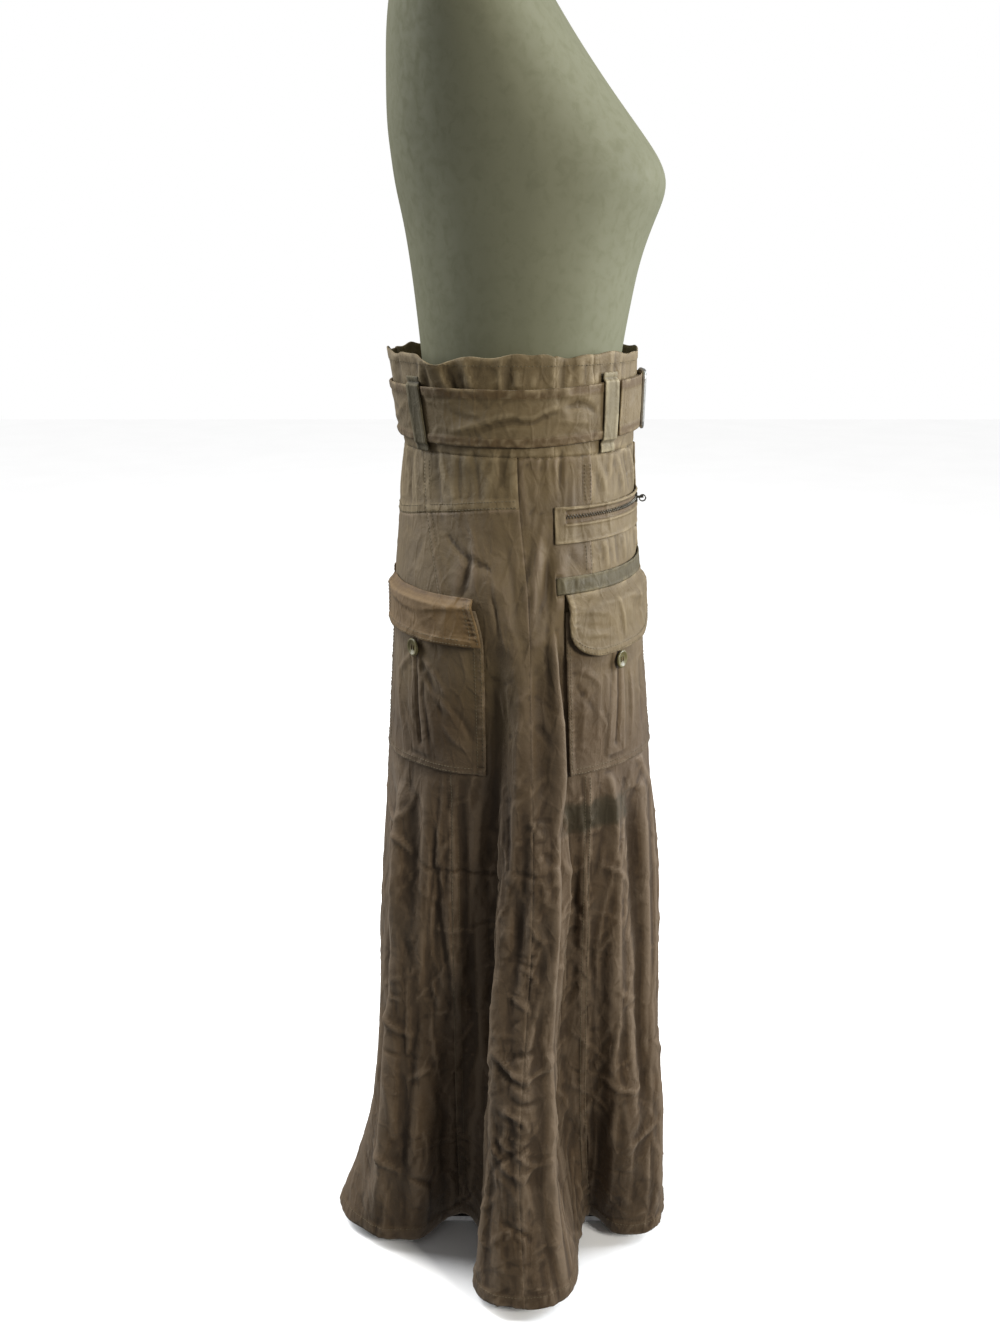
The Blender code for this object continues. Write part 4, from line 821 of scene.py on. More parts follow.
def stitch_row(places, heights, lift, rise=0.00015):
    """Stitches along a line on the cloth, as (points, quads)."""
    places, heights = np.broadcast_arrays(np.asarray(places, float), np.asarray(heights, float))
    route = cloth(places, heights, lift(places, heights) + rise)
    run = np.concatenate([[0.0], np.cumsum(np.linalg.norm(np.diff(route, axis=0), axis=1))])
    starts = np.arange(0.001, run[-1] - STITCH_LONG, STITCH_LONG + STITCH_GAP)
    if not len(starts):
        return np.zeros((0, 3)), np.zeros((0, 4), int)

    def at(distance):
        return np.stack([np.interp(distance, run, route[:, k]) for k in range(3)], -1)

    u_mid = np.interp(starts + STITCH_LONG / 2, run, places)
    z_mid = np.interp(starts + STITCH_LONG / 2, run, heights)
    nx, ny = level_normal(u_mid, z_mid)
    outward = np.stack([nx, ny, np.zeros(len(nx))], -1)
    rings = []
    for share, sink, size in STITCH_RINGS:
        middle = at(starts + STITCH_LONG * share)
        ahead = at(starts + STITCH_LONG) - at(starts)
        ahead /= np.linalg.norm(ahead, axis=1, keepdims=True)
        side = np.cross(outward, ahead)
        for quarter in range(4):
            turn = math.pi / 2 * quarter
            around = outward * math.cos(turn) * 0.8 + side * math.sin(turn)
            rings.append(middle + outward * sink + around * STITCH_RADIUS * size)
    points = np.stack(rings, 1)
    faces = []
    for ring in range(3):
        for quarter in range(4):
            a, b = ring * 4 + quarter, ring * 4 + (quarter + 1) % 4
            faces.append((a, b, b + 4, a + 4))
    faces += [(3, 2, 1, 0), (12, 13, 14, 15)]
    faces = np.array(faces)
    quads = faces[None] + (np.arange(len(starts)) * 16)[:, None, None]
    return points.reshape(-1, 3), quads.reshape(-1, 4)


# Materials
class Nodes:
    """A small helper for one material's node tree."""

    def __init__(self, name):
        self.material = bpy.data.materials.new(name)
        self.material.use_nodes = True
        self.tree = self.material.node_tree
        self.shader = self.tree.nodes["Principled BSDF"]

    def new(self, kind, **values):
        node = self.tree.nodes.new(kind)
        for key, value in values.items():
            if hasattr(node, key) and key not in node.inputs:
                setattr(node, key, value)
            else:
                node.inputs[key].default_value = value
        return node

    def link(self, start, end):
        self.tree.links.new(start, end)

    def noise(self, vector, scale, detail=3.0, rough=0.55, warp=0.0):
        node = self.new("ShaderNodeTexNoise", Scale=scale, Detail=detail, Roughness=rough, Distortion=warp)
        self.link(vector, node.inputs["Vector"])
        return node.outputs["Fac"]

    def ramp(self, value, low, high, start=0.0, end=1.0):
        node = self.new("ShaderNodeMapRange", interpolation_type="SMOOTHSTEP")
        for key, amount in (("From Min", low), ("From Max", high), ("To Min", start), ("To Max", end)):
            node.inputs[key].default_value = amount
        self.link(value, node.inputs["Value"])
        return node.outputs["Result"]

    def math(self, operation, first, second=0.0):
        node = self.new("ShaderNodeMath", operation=operation)
        for socket, value in zip(node.inputs, (first, second)):
            if isinstance(value, (int, float)):
                socket.default_value = value
            else:
                self.link(value, socket)
        return node.outputs[0]

    def mix(self, share, first, second, kind="MIX"):
        node = self.new("ShaderNodeMix", data_type="RGBA", blend_type=kind)
        if isinstance(share, (int, float)):
            node.inputs[0].default_value = share
        else:
            self.link(share, node.inputs[0])
        for socket, value in ((node.inputs[6], first), (node.inputs[7], second)):
            if isinstance(value, tuple):
                socket.default_value = (*value, 1.0)
            else:
                self.link(value, socket)
        return node.outputs[2]

    def cells(self, vector, scale, upright, warp):
        """Crossing crease lines, 1 on the line and 0 off it; upright under 1 draws them out in height."""
        stretch = self.new("ShaderNodeVectorMath", operation="MULTIPLY")
        stretch.inputs[1].default_value = (1.0, 1.0, upright)
        self.link(vector, stretch.inputs[0])
        sway = self.new("ShaderNodeTexNoise", Scale=scale * 0.7, Detail=2.0)
        self.link(stretch.outputs[0], sway.inputs["Vector"])
        shift = self.new("ShaderNodeVectorMath", operation="MULTIPLY_ADD")
        shift.inputs[1].default_value = (warp, warp, warp)
        self.link(sway.outputs["Color"], shift.inputs[0])
        self.link(stretch.outputs[0], shift.inputs[2])
        edges = self.new("ShaderNodeTexVoronoi", feature="DISTANCE_TO_EDGE", Scale=scale)
        self.link(shift.outputs[0], edges.inputs["Vector"])
        return self.ramp(edges.outputs["Distance"], 0.0, 0.16, 1.0, 0.0)

    def split(self, vector):
        node = self.new("ShaderNodeSeparateXYZ")
        self.link(vector, node.inputs[0])
        return node.outputs

    def bump(self, height, strength, distance, normal=None):
        node = self.new("ShaderNodeBump", Strength=strength, Distance=distance)
        self.link(height, node.inputs["Height"])
        if normal is not None:
            self.link(normal, node.inputs["Normal"])
        return node.outputs["Normal"]

    def attribute(self, name):
        return self.new("ShaderNodeAttribute", attribute_name=name).outputs["Vector"]

    def place(self):
        return self.new("ShaderNodeTexCoord").outputs["Object"]


# Where the skirt's colour changes, the tone of its trimmed parts, the stain and the pitch of the twill's ribs
COLOUR_BREAK = 0.745
TRIM = (0.080, 0.048, 0.020)
STAIN, STAIN_SHARE = (0.026, 0.022, 0.011), 0.78
TWILL_PITCH = 0.0011


def lighter(colour, gain):
    return tuple(min(part * gain, 1.0) for part in colour)


def add_stain(n, place, colour):
    """A dark ragged patch on the right front gore, over the colour."""
    x, y, z = n.split(place)
    ragged = n.math("MULTIPLY", n.math("SUBTRACT", n.noise(place, 45.0, 3.0), 0.5), 0.030)
    inside = n.ramp(x, -0.03, -0.05)
    for value, edges in ((z, ((0.556, 0.568), (0.600, 0.588))), (y, ((-0.112, -0.100), (-0.038, -0.050)))):
        shifted = n.math("ADD", value, ragged)
        for low, high in edges:
            inside = n.math("MULTIPLY", inside, n.ramp(shifted, low, high))
    return n.mix(n.math("MULTIPLY", inside, STAIN_SHARE), colour, STAIN)


def cloth_material(name, top, bottom, worn_and_highlight, dark, stained):
    """Washed cotton twill: top and bottom are its colours above and below the hips."""
    n = Nodes(name)
    place = n.place()
    _, _, z = n.split(place)
    sway = n.math("MULTIPLY", n.math("SUBTRACT", n.noise(place, 7.0, 2.0), 0.5), 0.30)
    upper = n.ramp(n.math("ADD", z, sway), COLOUR_BREAK - 0.13, COLOUR_BREAK + 0.07)
    colour = n.mix(upper, bottom, top)
    wash = n.noise(place, 5.5, 4.0, 0.6, 0.4)
    colour = n.mix(n.ramp(wash, 0.30, 0.80, 0.0, 0.40), colour, worn_and_highlight)
    patchy = n.noise(place, 17.0, 4.0, 0.65, 0.8)
    colour = n.mix(n.ramp(patchy, 0.35, 0.80, 0.0, 0.45), colour, dark)
    fibres = n.noise(place, 260.0, 2.0, 0.6)
    colour = n.mix(n.ramp(fibres, 0.35, 0.75, 0.0, 0.16), colour, worn_and_highlight)
    # Channels of the wear attribute: rim wear, ridge height for painted highlight and painted shade, and trim
    # tone
    edge, tall, tone = n.split(n.attribute("wear"))
    colour = n.mix(n.math("MULTIPLY", tone, 0.75), colour, TRIM)
    rub = n.math("MULTIPLY", n.ramp(edge, 0.35, 1.0), n.ramp(n.noise(place, 60.0, 3.0), 0.40, 0.65))
    colour = n.mix(n.math("MULTIPLY", rub, 0.5), colour, lighter(worn_and_highlight, 1.7))
    # Painted highlight and painted shade: cloth above its smoothed self is lightened, partly as worn ridges
    # and partly as painted highlight; cloth below it is darkened as painted shade in creases and troughs
    colour = n.mix(n.ramp(tall, 0.55, 1.0, 0.0, 0.45), colour, lighter(worn_and_highlight, 1.35))
    colour = n.mix(n.ramp(tall, 0.45, 0.0, 0.0, 0.55), colour, dark)
    if stained:
        colour = add_stain(n, place, colour)
    where = n.ramp(n.noise(place, 9.0, 2.0), 0.38, 0.62)
    broad = n.math("MULTIPLY", n.cells(place, 24.0, 0.38, 0.028), where)
    fine = n.cells(place, 62.0, 0.50, 0.016)
    colour = n.mix(n.math("MULTIPLY", broad, 0.30), colour, worn_and_highlight)
    n.link(colour, n.shader.inputs["Base Color"])
    run, up, _ = n.split(n.attribute("weave"))
    rib = n.math("SINE", n.math("MULTIPLY", n.math("ADD", run, up), math.tau / TWILL_PITCH))
    weave = n.math("ADD", n.math("MULTIPLY", rib, 0.35), n.noise(place, 900.0, 1.0))
    soft = n.noise(place, 42.0, 5.0, 0.62, 0.9)
    normal = n.bump(soft, 0.45, 0.0026)
    normal = n.bump(broad, 0.65, 0.0019, normal)
    normal = n.bump(fine, 0.38, 0.0008, normal)
    normal = n.bump(weave, 0.30, 0.00018, normal)
    n.link(normal, n.shader.inputs["Normal"])
    n.link(n.ramp(wash, 0.3, 0.8, 0.72, 0.54), n.shader.inputs["Roughness"])
    n.shader.inputs["Specular IOR Level"].default_value = 0.22
    n.shader.inputs["Sheen Weight"].default_value = 0.10
    n.shader.inputs["Sheen Roughness"].default_value = 0.45
    n.shader.inputs["Sheen Tint"].default_value = (0.72, 0.70, 0.62, 1.0)
    return n.material


def hard_material(name, colour, spots, metallic, roughness, bump, scale, gloss):
    """Metal, plastic or painted shell with fine wear in its colour and gloss."""
    n = Nodes(name)
    place = n.place()
    grain = n.noise(place, scale, 4.0, 0.6, 0.5)
    broad = n.noise(place, scale / 8, 3.0)
    tone = n.mix(n.ramp(grain, 0.45, 0.75, 0.0, 0.6), colour, spots)
    tone = n.mix(n.ramp(broad, 0.45, 0.70, 0.0, 0.35), tone, spots)
    n.link(tone, n.shader.inputs["Base Color"])
    n.shader.inputs["Metallic"].default_value = metallic
    n.shader.inputs["Specular IOR Level"].default_value = gloss
    n.link(n.ramp(grain, 0.3, 0.8, roughness * 0.85, min(roughness * 1.3, 1.0)), n.shader.inputs["Roughness"])
    n.link(n.bump(grain, bump, 0.0003), n.shader.inputs["Normal"])
    return n.material


KHAKI_TOP, KHAKI_LOW = (0.124, 0.087, 0.040), (0.078, 0.049, 0.025)
DARK, LIGHT, GOLDEN = (0.062, 0.050, 0.024), (0.155, 0.128, 0.074), (0.115, 0.070, 0.028)

# Cloths: name, colour above and below the hips, worn colour, which also paints highlight on ridges, deep
# colour, which also paints shade in creases and troughs, and whether it has the stain
CLOTHS = (
    ("khaki_cloth", KHAKI_TOP, KHAKI_TOP, (0.180, 0.140, 0.080), (0.056, 0.038, 0.018), False),
    ("brown_cloth", KHAKI_TOP, KHAKI_LOW, (0.128, 0.094, 0.062), (0.022, 0.013, 0.007), True),
    ("dark_cloth", DARK, DARK, (0.105, 0.086, 0.046), (0.03, 0.023, 0.012), False),
    ("light_cloth", LIGHT, LIGHT, (0.22, 0.185, 0.115), (0.08, 0.062, 0.034), False),
    ("golden_cloth", GOLDEN, GOLDEN, (0.165, 0.108, 0.050), (0.055, 0.029, 0.012), False),
)

# Hard finishes: name, colour, colour of the wear, metallic, roughness, bump, scale of the grain and gloss
FINISHES = (
    ("button_plastic", (0.115, 0.098, 0.036), (0.06, 0.052, 0.020), 0.0, 0.42, 0.15, 180.0, 0.5),
    ("buckle_metal", (0.52, 0.52, 0.50), (0.25, 0.25, 0.23), 0.95, 0.36, 0.15, 180.0, 0.5),
    ("zip_metal", (0.15, 0.14, 0.115), (0.05, 0.045, 0.035), 0.95, 0.40, 0.15, 180.0, 0.5),
    ("form_shell", (0.150, 0.150, 0.098), (0.128, 0.129, 0.083), 0.0, 0.78, 0.12, 90.0, 0.12),
    ("stand_metal", (0.40, 0.40, 0.40), (0.22, 0.22, 0.22), 0.9, 0.38, 0.15, 180.0, 0.5),
)
MATERIALS = {row[0]: cloth_material(*row) for row in CLOTHS}
MATERIALS.update((row[0], hard_material(*row)) for row in FINISHES)


def dress(item, slot, *nodes):
    """Gives a piece its finish, its body and the CAD nodes that it stands for."""
    item.data.materials.clear()
    item.data.materials.append(MATERIALS[slot])
    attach(item, "root")
    if nodes:
        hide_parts(*nodes)


def add_cloth(name, slot, held, rests, *shape, **more):
    """A piece of cloth in its finish, with how it is held and what it rests on."""
    dress(cloth_piece(name, *shape, **more), slot, name)
    PIECES[name].update(held=held, rests=rests)


def span_on(side, start, end):
    """A span of the right half, or its mirror on the left."""
    return (start, end) if side == "right" else (ROUND - end, ROUND - start)


def hem_line(place):
    """The hem's height, which waves a little."""
    turn = math.tau * np.asarray(place, float) / ROUND
    wave = 0.0016 * np.sin(9 * turn + 0.7) + 0.0012 * np.sin(17 * turn + 2.1) + 0.0008 * np.sin(31 * turn)
    return HEM + 0.0042 + wave


def top_line(place):
    """The height of the waistband's top edge, lower where it is crumpled."""
    place = np.asarray(place, float)
    away = np.abs(place % ROUND - CRUMPLE_AT)
    wave = 0.0016 * np.sin(place * 2.1 + 0.4) + 0.0010 * np.sin(place * 5.3)
    return BAND_TOP - 0.0020 + wave - 0.6 * CRUMPLE_DROP * np.exp(-((away / CRUMPLE_WIDTH) ** 2))


BODY_STEP, BODY_RISE = 0.0031, 0.0030
WAIST_LINE, FLAP_LINE = level(WAIST_SEAM), level(FLAP_SEAM)

# Pieces of each half: name, start, end, lower and upper edge, cloth, height of the counted width, and hold
HALF_PIECES = (
    ("gore_back_", 0, 3, hem_line, yoke_line, "brown_cloth", 0.20, "hung"),
    ("gore_side_back_", 3, 6, hem_line, yoke_line, "brown_cloth", 0.20, "hung"),
    ("yoke_side_", 3, 6, yoke_line, WAIST_LINE, "khaki_cloth", 0.91, "hung"),
    ("gore_side_front_", 6, 9, hem_line, WAIST_LINE, "brown_cloth", 0.20, "hung"),
    ("gore_front_", 9, 12, hem_line, FLAP_LINE, "brown_cloth", 0.20, "hung"),
    ("front_upper_", 9, 12, FLAP_LINE, WAIST_LINE, "khaki_cloth", 0.87, "hung"),
    ("waistband_side_", 7.5, 9, WAIST_LINE, top_line, "khaki_cloth", 1.0, "gathered"),
    ("waistband_front_", 9, 12, WAIST_LINE, top_line, "khaki_cloth", 1.0, "gathered"),
)


def make_body():
    """Waistband, yokes and gores."""
    def add(name, start, end, low, high, slot, wide_at, held):
        add_cloth(name, slot, held, "form_body", start, end, low, high, body_lift,
                  step=BODY_STEP, rise=BODY_RISE, wide_at=wide_at)

    add("yoke_back", 21, 27, yoke_line, WAIST_LINE, "khaki_cloth", 0.90, "hung")
    for side in ("right", "left"):
        for name, start, end, *facts in HALF_PIECES:
            add(name + side, *span_on(side, start, end), *facts)
    add("waistband_back", 16.5, 31.5, WAIST_LINE, top_line, "khaki_cloth", 1.0, "gathered")


CLOTH = 0.0018
OVER_BELT = 0.0031
BELT_HEM = 0.0009
BELT_STRAP, BELT_TAIL = (12.95, 35.2), (9.98, 12.90)

# The belt's loops: name, round coordinate and cloth
BELT_LOOPS = (
    ("belt_loop_1", 3.05, "dark_cloth"),
    ("belt_loop_2", 9.6, "light_cloth"),
    ("belt_loop_3", 14.4, "light_cloth"),
    ("belt_loop_4", 20.95, "dark_cloth"),
)
LOOP_LOW, LOOP_OVER, LOOP_HALF, LOOP_BEND = 0.9385, 0.0079, 0.0095, 0.0034

# The belt's diagonal folds: start, end and height in mm
BELT_FOLDS = (
    ((4.1, 0.957), (7.7, 0.988), 3.2),
    ((4.6, 0.954), (8.1, 0.979), -2.2),
    ((7.5, 0.984), (9.5, 0.977), -3.0),
    ((7.6, 0.992), (9.4, 0.986), 1.6),
    ((7.2, 0.968), (9.4, 0.966), 1.6),
    ((5.9, 0.985), (4.4, 0.975), 1.2),
    ((5.2, 0.970), (3.9, 0.982), -1.2),
    ((2.6, 0.985), (0.4, 0.962), 1.6),
    ((2.0, 0.970), (0.2, 0.984), -1.4),
)


def laid_relief(seed, build):
    rng = np.random.default_rng(seed)
    relief = Relief()
    build(relief, rng)
    return relief


def belt_relief(relief, rng):
    """The belt's diagonal folds, and the puckers at its hems."""
    for start, end, tall in BELT_FOLDS:
        relief.crease(start, end, tall, 4.0, 2.0, 0.3)
        relief.crease((ROUND - start[0], start[1]), (ROUND - end[0], end[1]), tall * 0.9, 4.0, -2.0, 0.3)
    for _ in range(160):
        place = rng.uniform(0, ROUND)
        height = belt_low(place) + rng.choice([0.0045, 0.0465])
        relief.crease((place, height - 0.005), (place + 0.12, height + 0.005), rng.uniform(-1.0, 1.0), 1.9)
    crumples(relief, rng, 130, 0.955, 0.992, 0.7, turned=1.3)


BELT = laid_relief(5, belt_relief)


def belt_hems(place, height):
    """The thicker hems at the belt's two edges."""
    share = (height - belt_low(place)) / BELT_TALL
    hems = smooth((0.17 - share) / 0.02) + smooth((share - 0.83) / 0.02)
    return BELT_HEM * np.clip(hems, 0, 1)


def belt_lift(place, height):
    return 0.0027 + belt_hems(place, height) + np.clip(BELT.at(place, height), -0.0019, 0.0045)


def belt_tone(place, height):
    return belt_hems(place, height) / BELT_HEM


def tail_lift(place, height):
    """The belt's end, which lies over the strap and is ribbed by its rows of stitches."""
    place = np.asarray(place, float)
    base = 0.0023 + 0.0026 * smooth((BELT_TAIL[1] - place) / 0.55)
    ribs = 0.00045 * np.sin(place * speed(place, height) * math.tau / 0.0042)
    share = (height - belt_low(place)) / BELT_TALL
    field = smooth((share - 0.13) / 0.04) * smooth((0.87 - share) / 0.04)
    return base + belt_hems(place, height) * 0.6 + ribs * field


def make_loop(name, place, slot):
    """A belt loop, from the waist seam over the belt."""
    half = LOOP_HALF / float(speed(place, 0.97))
    low = float(belt_low(place)) - 0.0010
    high = float(belt_high(place)) + 0.0010

    def lift(u, z):
        over = smooth((z - low + LOOP_BEND) / LOOP_BEND) * smooth((high + LOOP_BEND - z) / LOOP_BEND)
        edge = 0.0005 * smooth((np.abs(u - place) / half - 0.45) / 0.15)
        ends = 0.0008 * np.clip(smooth((0.9450 - z) / 0.001) + smooth((z - high - 0.0035) / 0.001), 0, 1)
        return SEAM_GAP + CLOTH + OVER_BELT * over + edge + ends * (1 - over)

    add_cloth(name, slot, "stretched", "belt_strap", place - half, place + half, level(LOOP_LOW),
              level(high + LOOP_OVER), lift, 0.0016, 0.0011, 0.0012)


def make_belt():
    """The belt's strap, its stitched end and its loops."""
    add_cloth("belt_strap", "khaki_cloth", "stretched", "waistband_back", *BELT_STRAP, belt_low, belt_high,
              belt_lift, 0.0021, 0.0026, 0.0017, tone=belt_tone)
    add_cloth("belt_tail", "khaki_cloth", "stretched", "waistband_back", *BELT_TAIL, belt_low, belt_high,
              tail_lift, 0.0017, 0.0010, 0.0016, tone=belt_tone)
    for loop in BELT_LOOPS:
        make_loop(*loop)


def bag_rest(start, end, fullness):
    """How far a bag's inner face stands off the skirt: most in its upper middle, least at its sewn edges."""
    def rest(place, height):
        across = np.sin(math.pi * np.clip((place - start) / (end - start), 0.0, 1.0))
        rise = smooth((height - BAG_LOW) / (0.45 * (BAG_HIGH - BAG_LOW)))
        return SEAM_GAP + fullness * across**0.7 * rise
    return rest


# Creases of the bags and of the flaps, as rows for add_both
BAG_CREASES = (
    (2.1, 0.752, 1.0, 0.716, 1.6, 3.5, 2, 0.2),
    (2.2, 0.748, 3.2, 0.706, 2.0, 3.5, 3, 0.3),
    (2.3, 0.740, 3.0, 0.684, -1.4, 3.5, 3, 0.0),
    (2.3, 0.724, 3.4, 0.690, 1.6, 4.0, -4, 0.2),
    (2.4, 0.716, 2.6, 0.650, 1.4, 4.0, 3, 0.2),
    (3.1, 0.700, 3.5, 0.664, -1.6, 4.0, 3, 0.0),
    (2.9, 0.678, 3.5, 0.650, 1.6, 4.0, -3, 0.3),
    (1.8, 0.730, 1.7, 0.640, 1.4, 4.0, 2, 0.2),
    (1.2, 0.740, 1.5, 0.650, 1.6, 4.5, -3, 0.2),
    (0.9, 0.725, 0.8, 0.640, -1.2, 4.5, 2, 0.0),
    (8.3, 0.742, 9.3, 0.716, 1.4, 3.5, 2, 0.2),
    (8.3, 0.728, 9.2, 0.690, -1.2, 3.5, -2, 0.0),
    (8.6, 0.712, 8.5, 0.650, 1.4, 4.0, 2, 0.2),
    (9.1, 0.730, 9.2, 0.640, 1.4, 4.0, -2, 0.2),
    (10.2, 0.735, 10.3, 0.645, 2.0, 4.0, 3, 0.3),
    (10.8, 0.738, 10.9, 0.640, -1.6, 4.0, -2, 0.0),
    (11.2, 0.735, 11.1, 0.640, 1.6, 4.0, 2, 0.2),
)
FLAP_CREASES = (
    (0.6, 0.802, 2.4, 0.790, 1.8, 3.5, -3, 0.3),
    (2.4, 0.790, 3.7, 0.797, 1.2, 3.0, 2, 0.3),
    (1.4, 0.805, 1.5, 0.766, -1.2, 3.0, 1, 0.0),
    (2.0, 0.786, 2.6, 0.776, -1.0, 3.0, 2, 0.0),
    (9.6, 0.806, 9.9, 0.760, 2.2, 3.5, 2, 0.3),
    (8.3, 0.796, 9.5, 0.788, 1.2, 3.0, 2, 0.2),
    (8.4, 0.784, 9.6, 0.776, -1.2, 3.0, -2, 0.0),
    (8.5, 0.774, 9.6, 0.766, 1.2, 3.0, 2, 0.2),
    (10.1, 0.800, 11.2, 0.792, 1.4, 3.0, -2, 0.2),
    (10.2, 0.786, 11.2, 0.774, -1.4, 3.5, 2, 0.0),
    (10.6, 0.806, 10.8, 0.760, 1.6, 4.0, 2, 0.3),
)


def bag_relief(relief, rng):
    """Creases over the bags, and puckers down their sewn sides."""
    for row in BAG_CREASES:
        add_both(relief, row, rng)
    crumples(relief, rng, 380, BAG_LOW + 0.008, BAG_HIGH, 0.8)
    for edge in (*BACK_BAG, *FRONT_BAG):
        heights = np.arange(BAG_LOW, 0.765, 0.004)
        inward = 0.10 if edge in (BACK_BAG[0], FRONT_BAG[0]) else -0.10
        for place in (edge + inward, ROUND - edge - inward):
            puckers(relief, rng, np.full(len(heights), place), heights, 0.7, 0.006, 0.0058)


def flap_relief(relief, rng):
    """Creases over the flaps, and puckers at the sides and lower edge of the back ones."""
    for row in FLAP_CREASES:
        add_both(relief, row, rng)
    crumples(relief, rng, 130, 0.756, 0.806, 0.5)
    for turn, way in ((lambda place: place, 1), (lambda place: ROUND - place, -1)):
        for height in np.arange(0.768, 0.804, 0.0046):
            wide = rng.uniform(0.22, 0.34)
            tall = rng.uniform(0.35, 0.8)
            relief.crease((turn(3.72), height), (turn(3.72 - wide), height + rng.normal(0, 0.001)), tall, 1.9)
            relief.crease((turn(0.53), height), (turn(0.53 + wide), height), tall * 0.8, 1.9)
        places = turn(np.arange(0.6, 3.7, 0.05))[::way]
        puckers(relief, rng, places, np.full(len(places), 0.7685), 0.6, 0.005, 0.006, level=True)


BAG = laid_relief(23, bag_relief)
FLAP = laid_relief(29, flap_relief)


def side_puckers(place, height, start, end, reach, pitch):
    """Ridges across the sewn bands at a pocket's two sides, in metres."""
    pace = speed(place, height)
    away = np.minimum(place - start, end - place) * pace
    uneven = np.sin(height * 410.0 + place * 3.1) + 0.7 * np.sin(height * 171.0 + place * 5.0 + 1.3)
    ridge = np.sin(math.tau * height / pitch + 2.6 * np.sin(height * 150.0 + place * 2.0))
    inside = smooth(away / 0.0028) * smooth((reach - away) / (0.6 * reach))
    return (0.00030 + 0.00018 * uneven) * ridge * inside


# Cargo pockets: name, span, fullness, the flap's lower and upper edge, radius of its corners and its cloth
CARGOS = (
    ("back", BACK_BAG, 0.0050, 0.763, 0.807, 0.0, "golden_cloth"),
    ("front", FRONT_BAG, 0.0036, 0.752, 0.8119, 0.034, "khaki_cloth"),
)
PLEAT_HALF, PLEAT_EDGE, PLEAT_TALL = 0.28, 0.045, 0.0016
SLOT_LOW, SLOT_DEEP = 0.645, 0.0026
FLAP_STEP = BAG_HIGH + 0.0028


def make_cargo(name, side, start, end, fullness, flap_low, flap_high, corner, flap_cloth):
    """A pocket's bag, flap and button. Returns its rows of stitches."""
    middle = (start + end) / 2
    rest = bag_rest(start, end, fullness)
    pace = float(speed(start + 0.12, flap_low))

    def bag_lift(place, height):
        off = np.abs(place - middle)
        flare = PLEAT_HALF * (0.55 + 0.45 * smooth((0.76 - height) / 0.12))
        pleat = smooth((flare + PLEAT_EDGE - off) / PLEAT_EDGE) * smooth((height - 0.639) / 0.002)
        slot = np.exp(-((off / 0.055) ** 2)) * smooth((height - SLOT_LOW) / 0.01) * SLOT_DEEP
        hem = 0.0006 * smooth((BAG_LOW + 0.007 - height) / 0.001)
        away = np.minimum(place - start, end - place) * speed(place, height)
        sewn = 0.0006 * smooth((0.007 - away) / 0.001)
        sewn = sewn + side_puckers(place, height, start, end, 0.011, 0.0068)
        return CLOTH + rest(place, height) + pleat * PLEAT_TALL - slot + hem + sewn + BAG.at(place, height)

    def bag_tone(place, height):
        return 0.8 * np.exp(-((np.abs(place - middle) / 0.07) ** 2)) * smooth((height - SLOT_LOW) / 0.03)

    def flap_edge(place):
        near = np.minimum(place - start, end - place) * pace
        dip = corner - np.sqrt(np.maximum(corner**2 - np.maximum(corner - near, 0.0) ** 2, 0.0))
        return flap_low + (dip if corner else 0.0 * near)

    def flap_lift(place, height):
        over = rest(place, np.minimum(height, BAG_HIGH)) + PLEAT_TALL + CLOTH + 0.0010
        gap = SEAM_GAP + (over - SEAM_GAP) * smooth((flap_high - height) / (flap_high - FLAP_STEP))
        rim = np.minimum(height - flap_edge(place), np.minimum(place - start, end - place) * pace)
        sewn = 0.0009 * smooth((0.0072 - rim) / 0.0012)
        curl = 0.0022 * smooth((0.02 - rim) / 0.02) if corner else 0.0008 * smooth((0.012 - rim) / 0.012)
        ease = smooth((flap_high - height) / 0.006)
        sewn = sewn + side_puckers(place, height, start, end, 0.015, 0.0049)
        return CLOTH + gap + sewn + (curl + np.maximum(FLAP.at(place, height), -0.0006)) * ease

    under = f"gore_{name}_{side}"
    add_cloth(f"{name}_bag_{side}", "brown_cloth", "hung", under, start, end, level(BAG_LOW), level(BAG_HIGH),
              bag_lift, 0.0017, 0.0021, 0.0021, tone=bag_tone)
    add_cloth(f"{name}_flap_{side}", flap_cloth, "hung", under, start, end, flap_edge, level(flap_high),
              flap_lift, 0.0017, 0.0018, 0.0012)
    make_button(f"{name}_button_{side}")
    return cargo_rows(start, end, bag_lift, flap_lift, flap_edge, flap_high)


# A button's profile as radius and height, how deep it sits, and its eyes, drawn as dark discs of painted
# shade: places, height, radius, and thread
BUTTON_PROFILE = ((0.0, 0.0004), (0.0080, 0.0004), (0.0088, 0.0012), (0.0088, 0.0024), (0.0080, 0.0032),
                  (0.0070, 0.0031), (0.0062, 0.0022), (0.0, 0.0019))
BUTTON_SIDES = 40
BUTTON_SUNK = 0.0012
EYES = ((1, 1), (-1, 1), (-1, -1), (1, -1))
EYE_OFF, EYE_HIGH, EYE_RADIUS, EYE_DEEP = 0.0019, 0.0021, 0.0009, 0.00025
THREAD_HIGH, THREAD_RADIUS = 0.0023, 0.0005


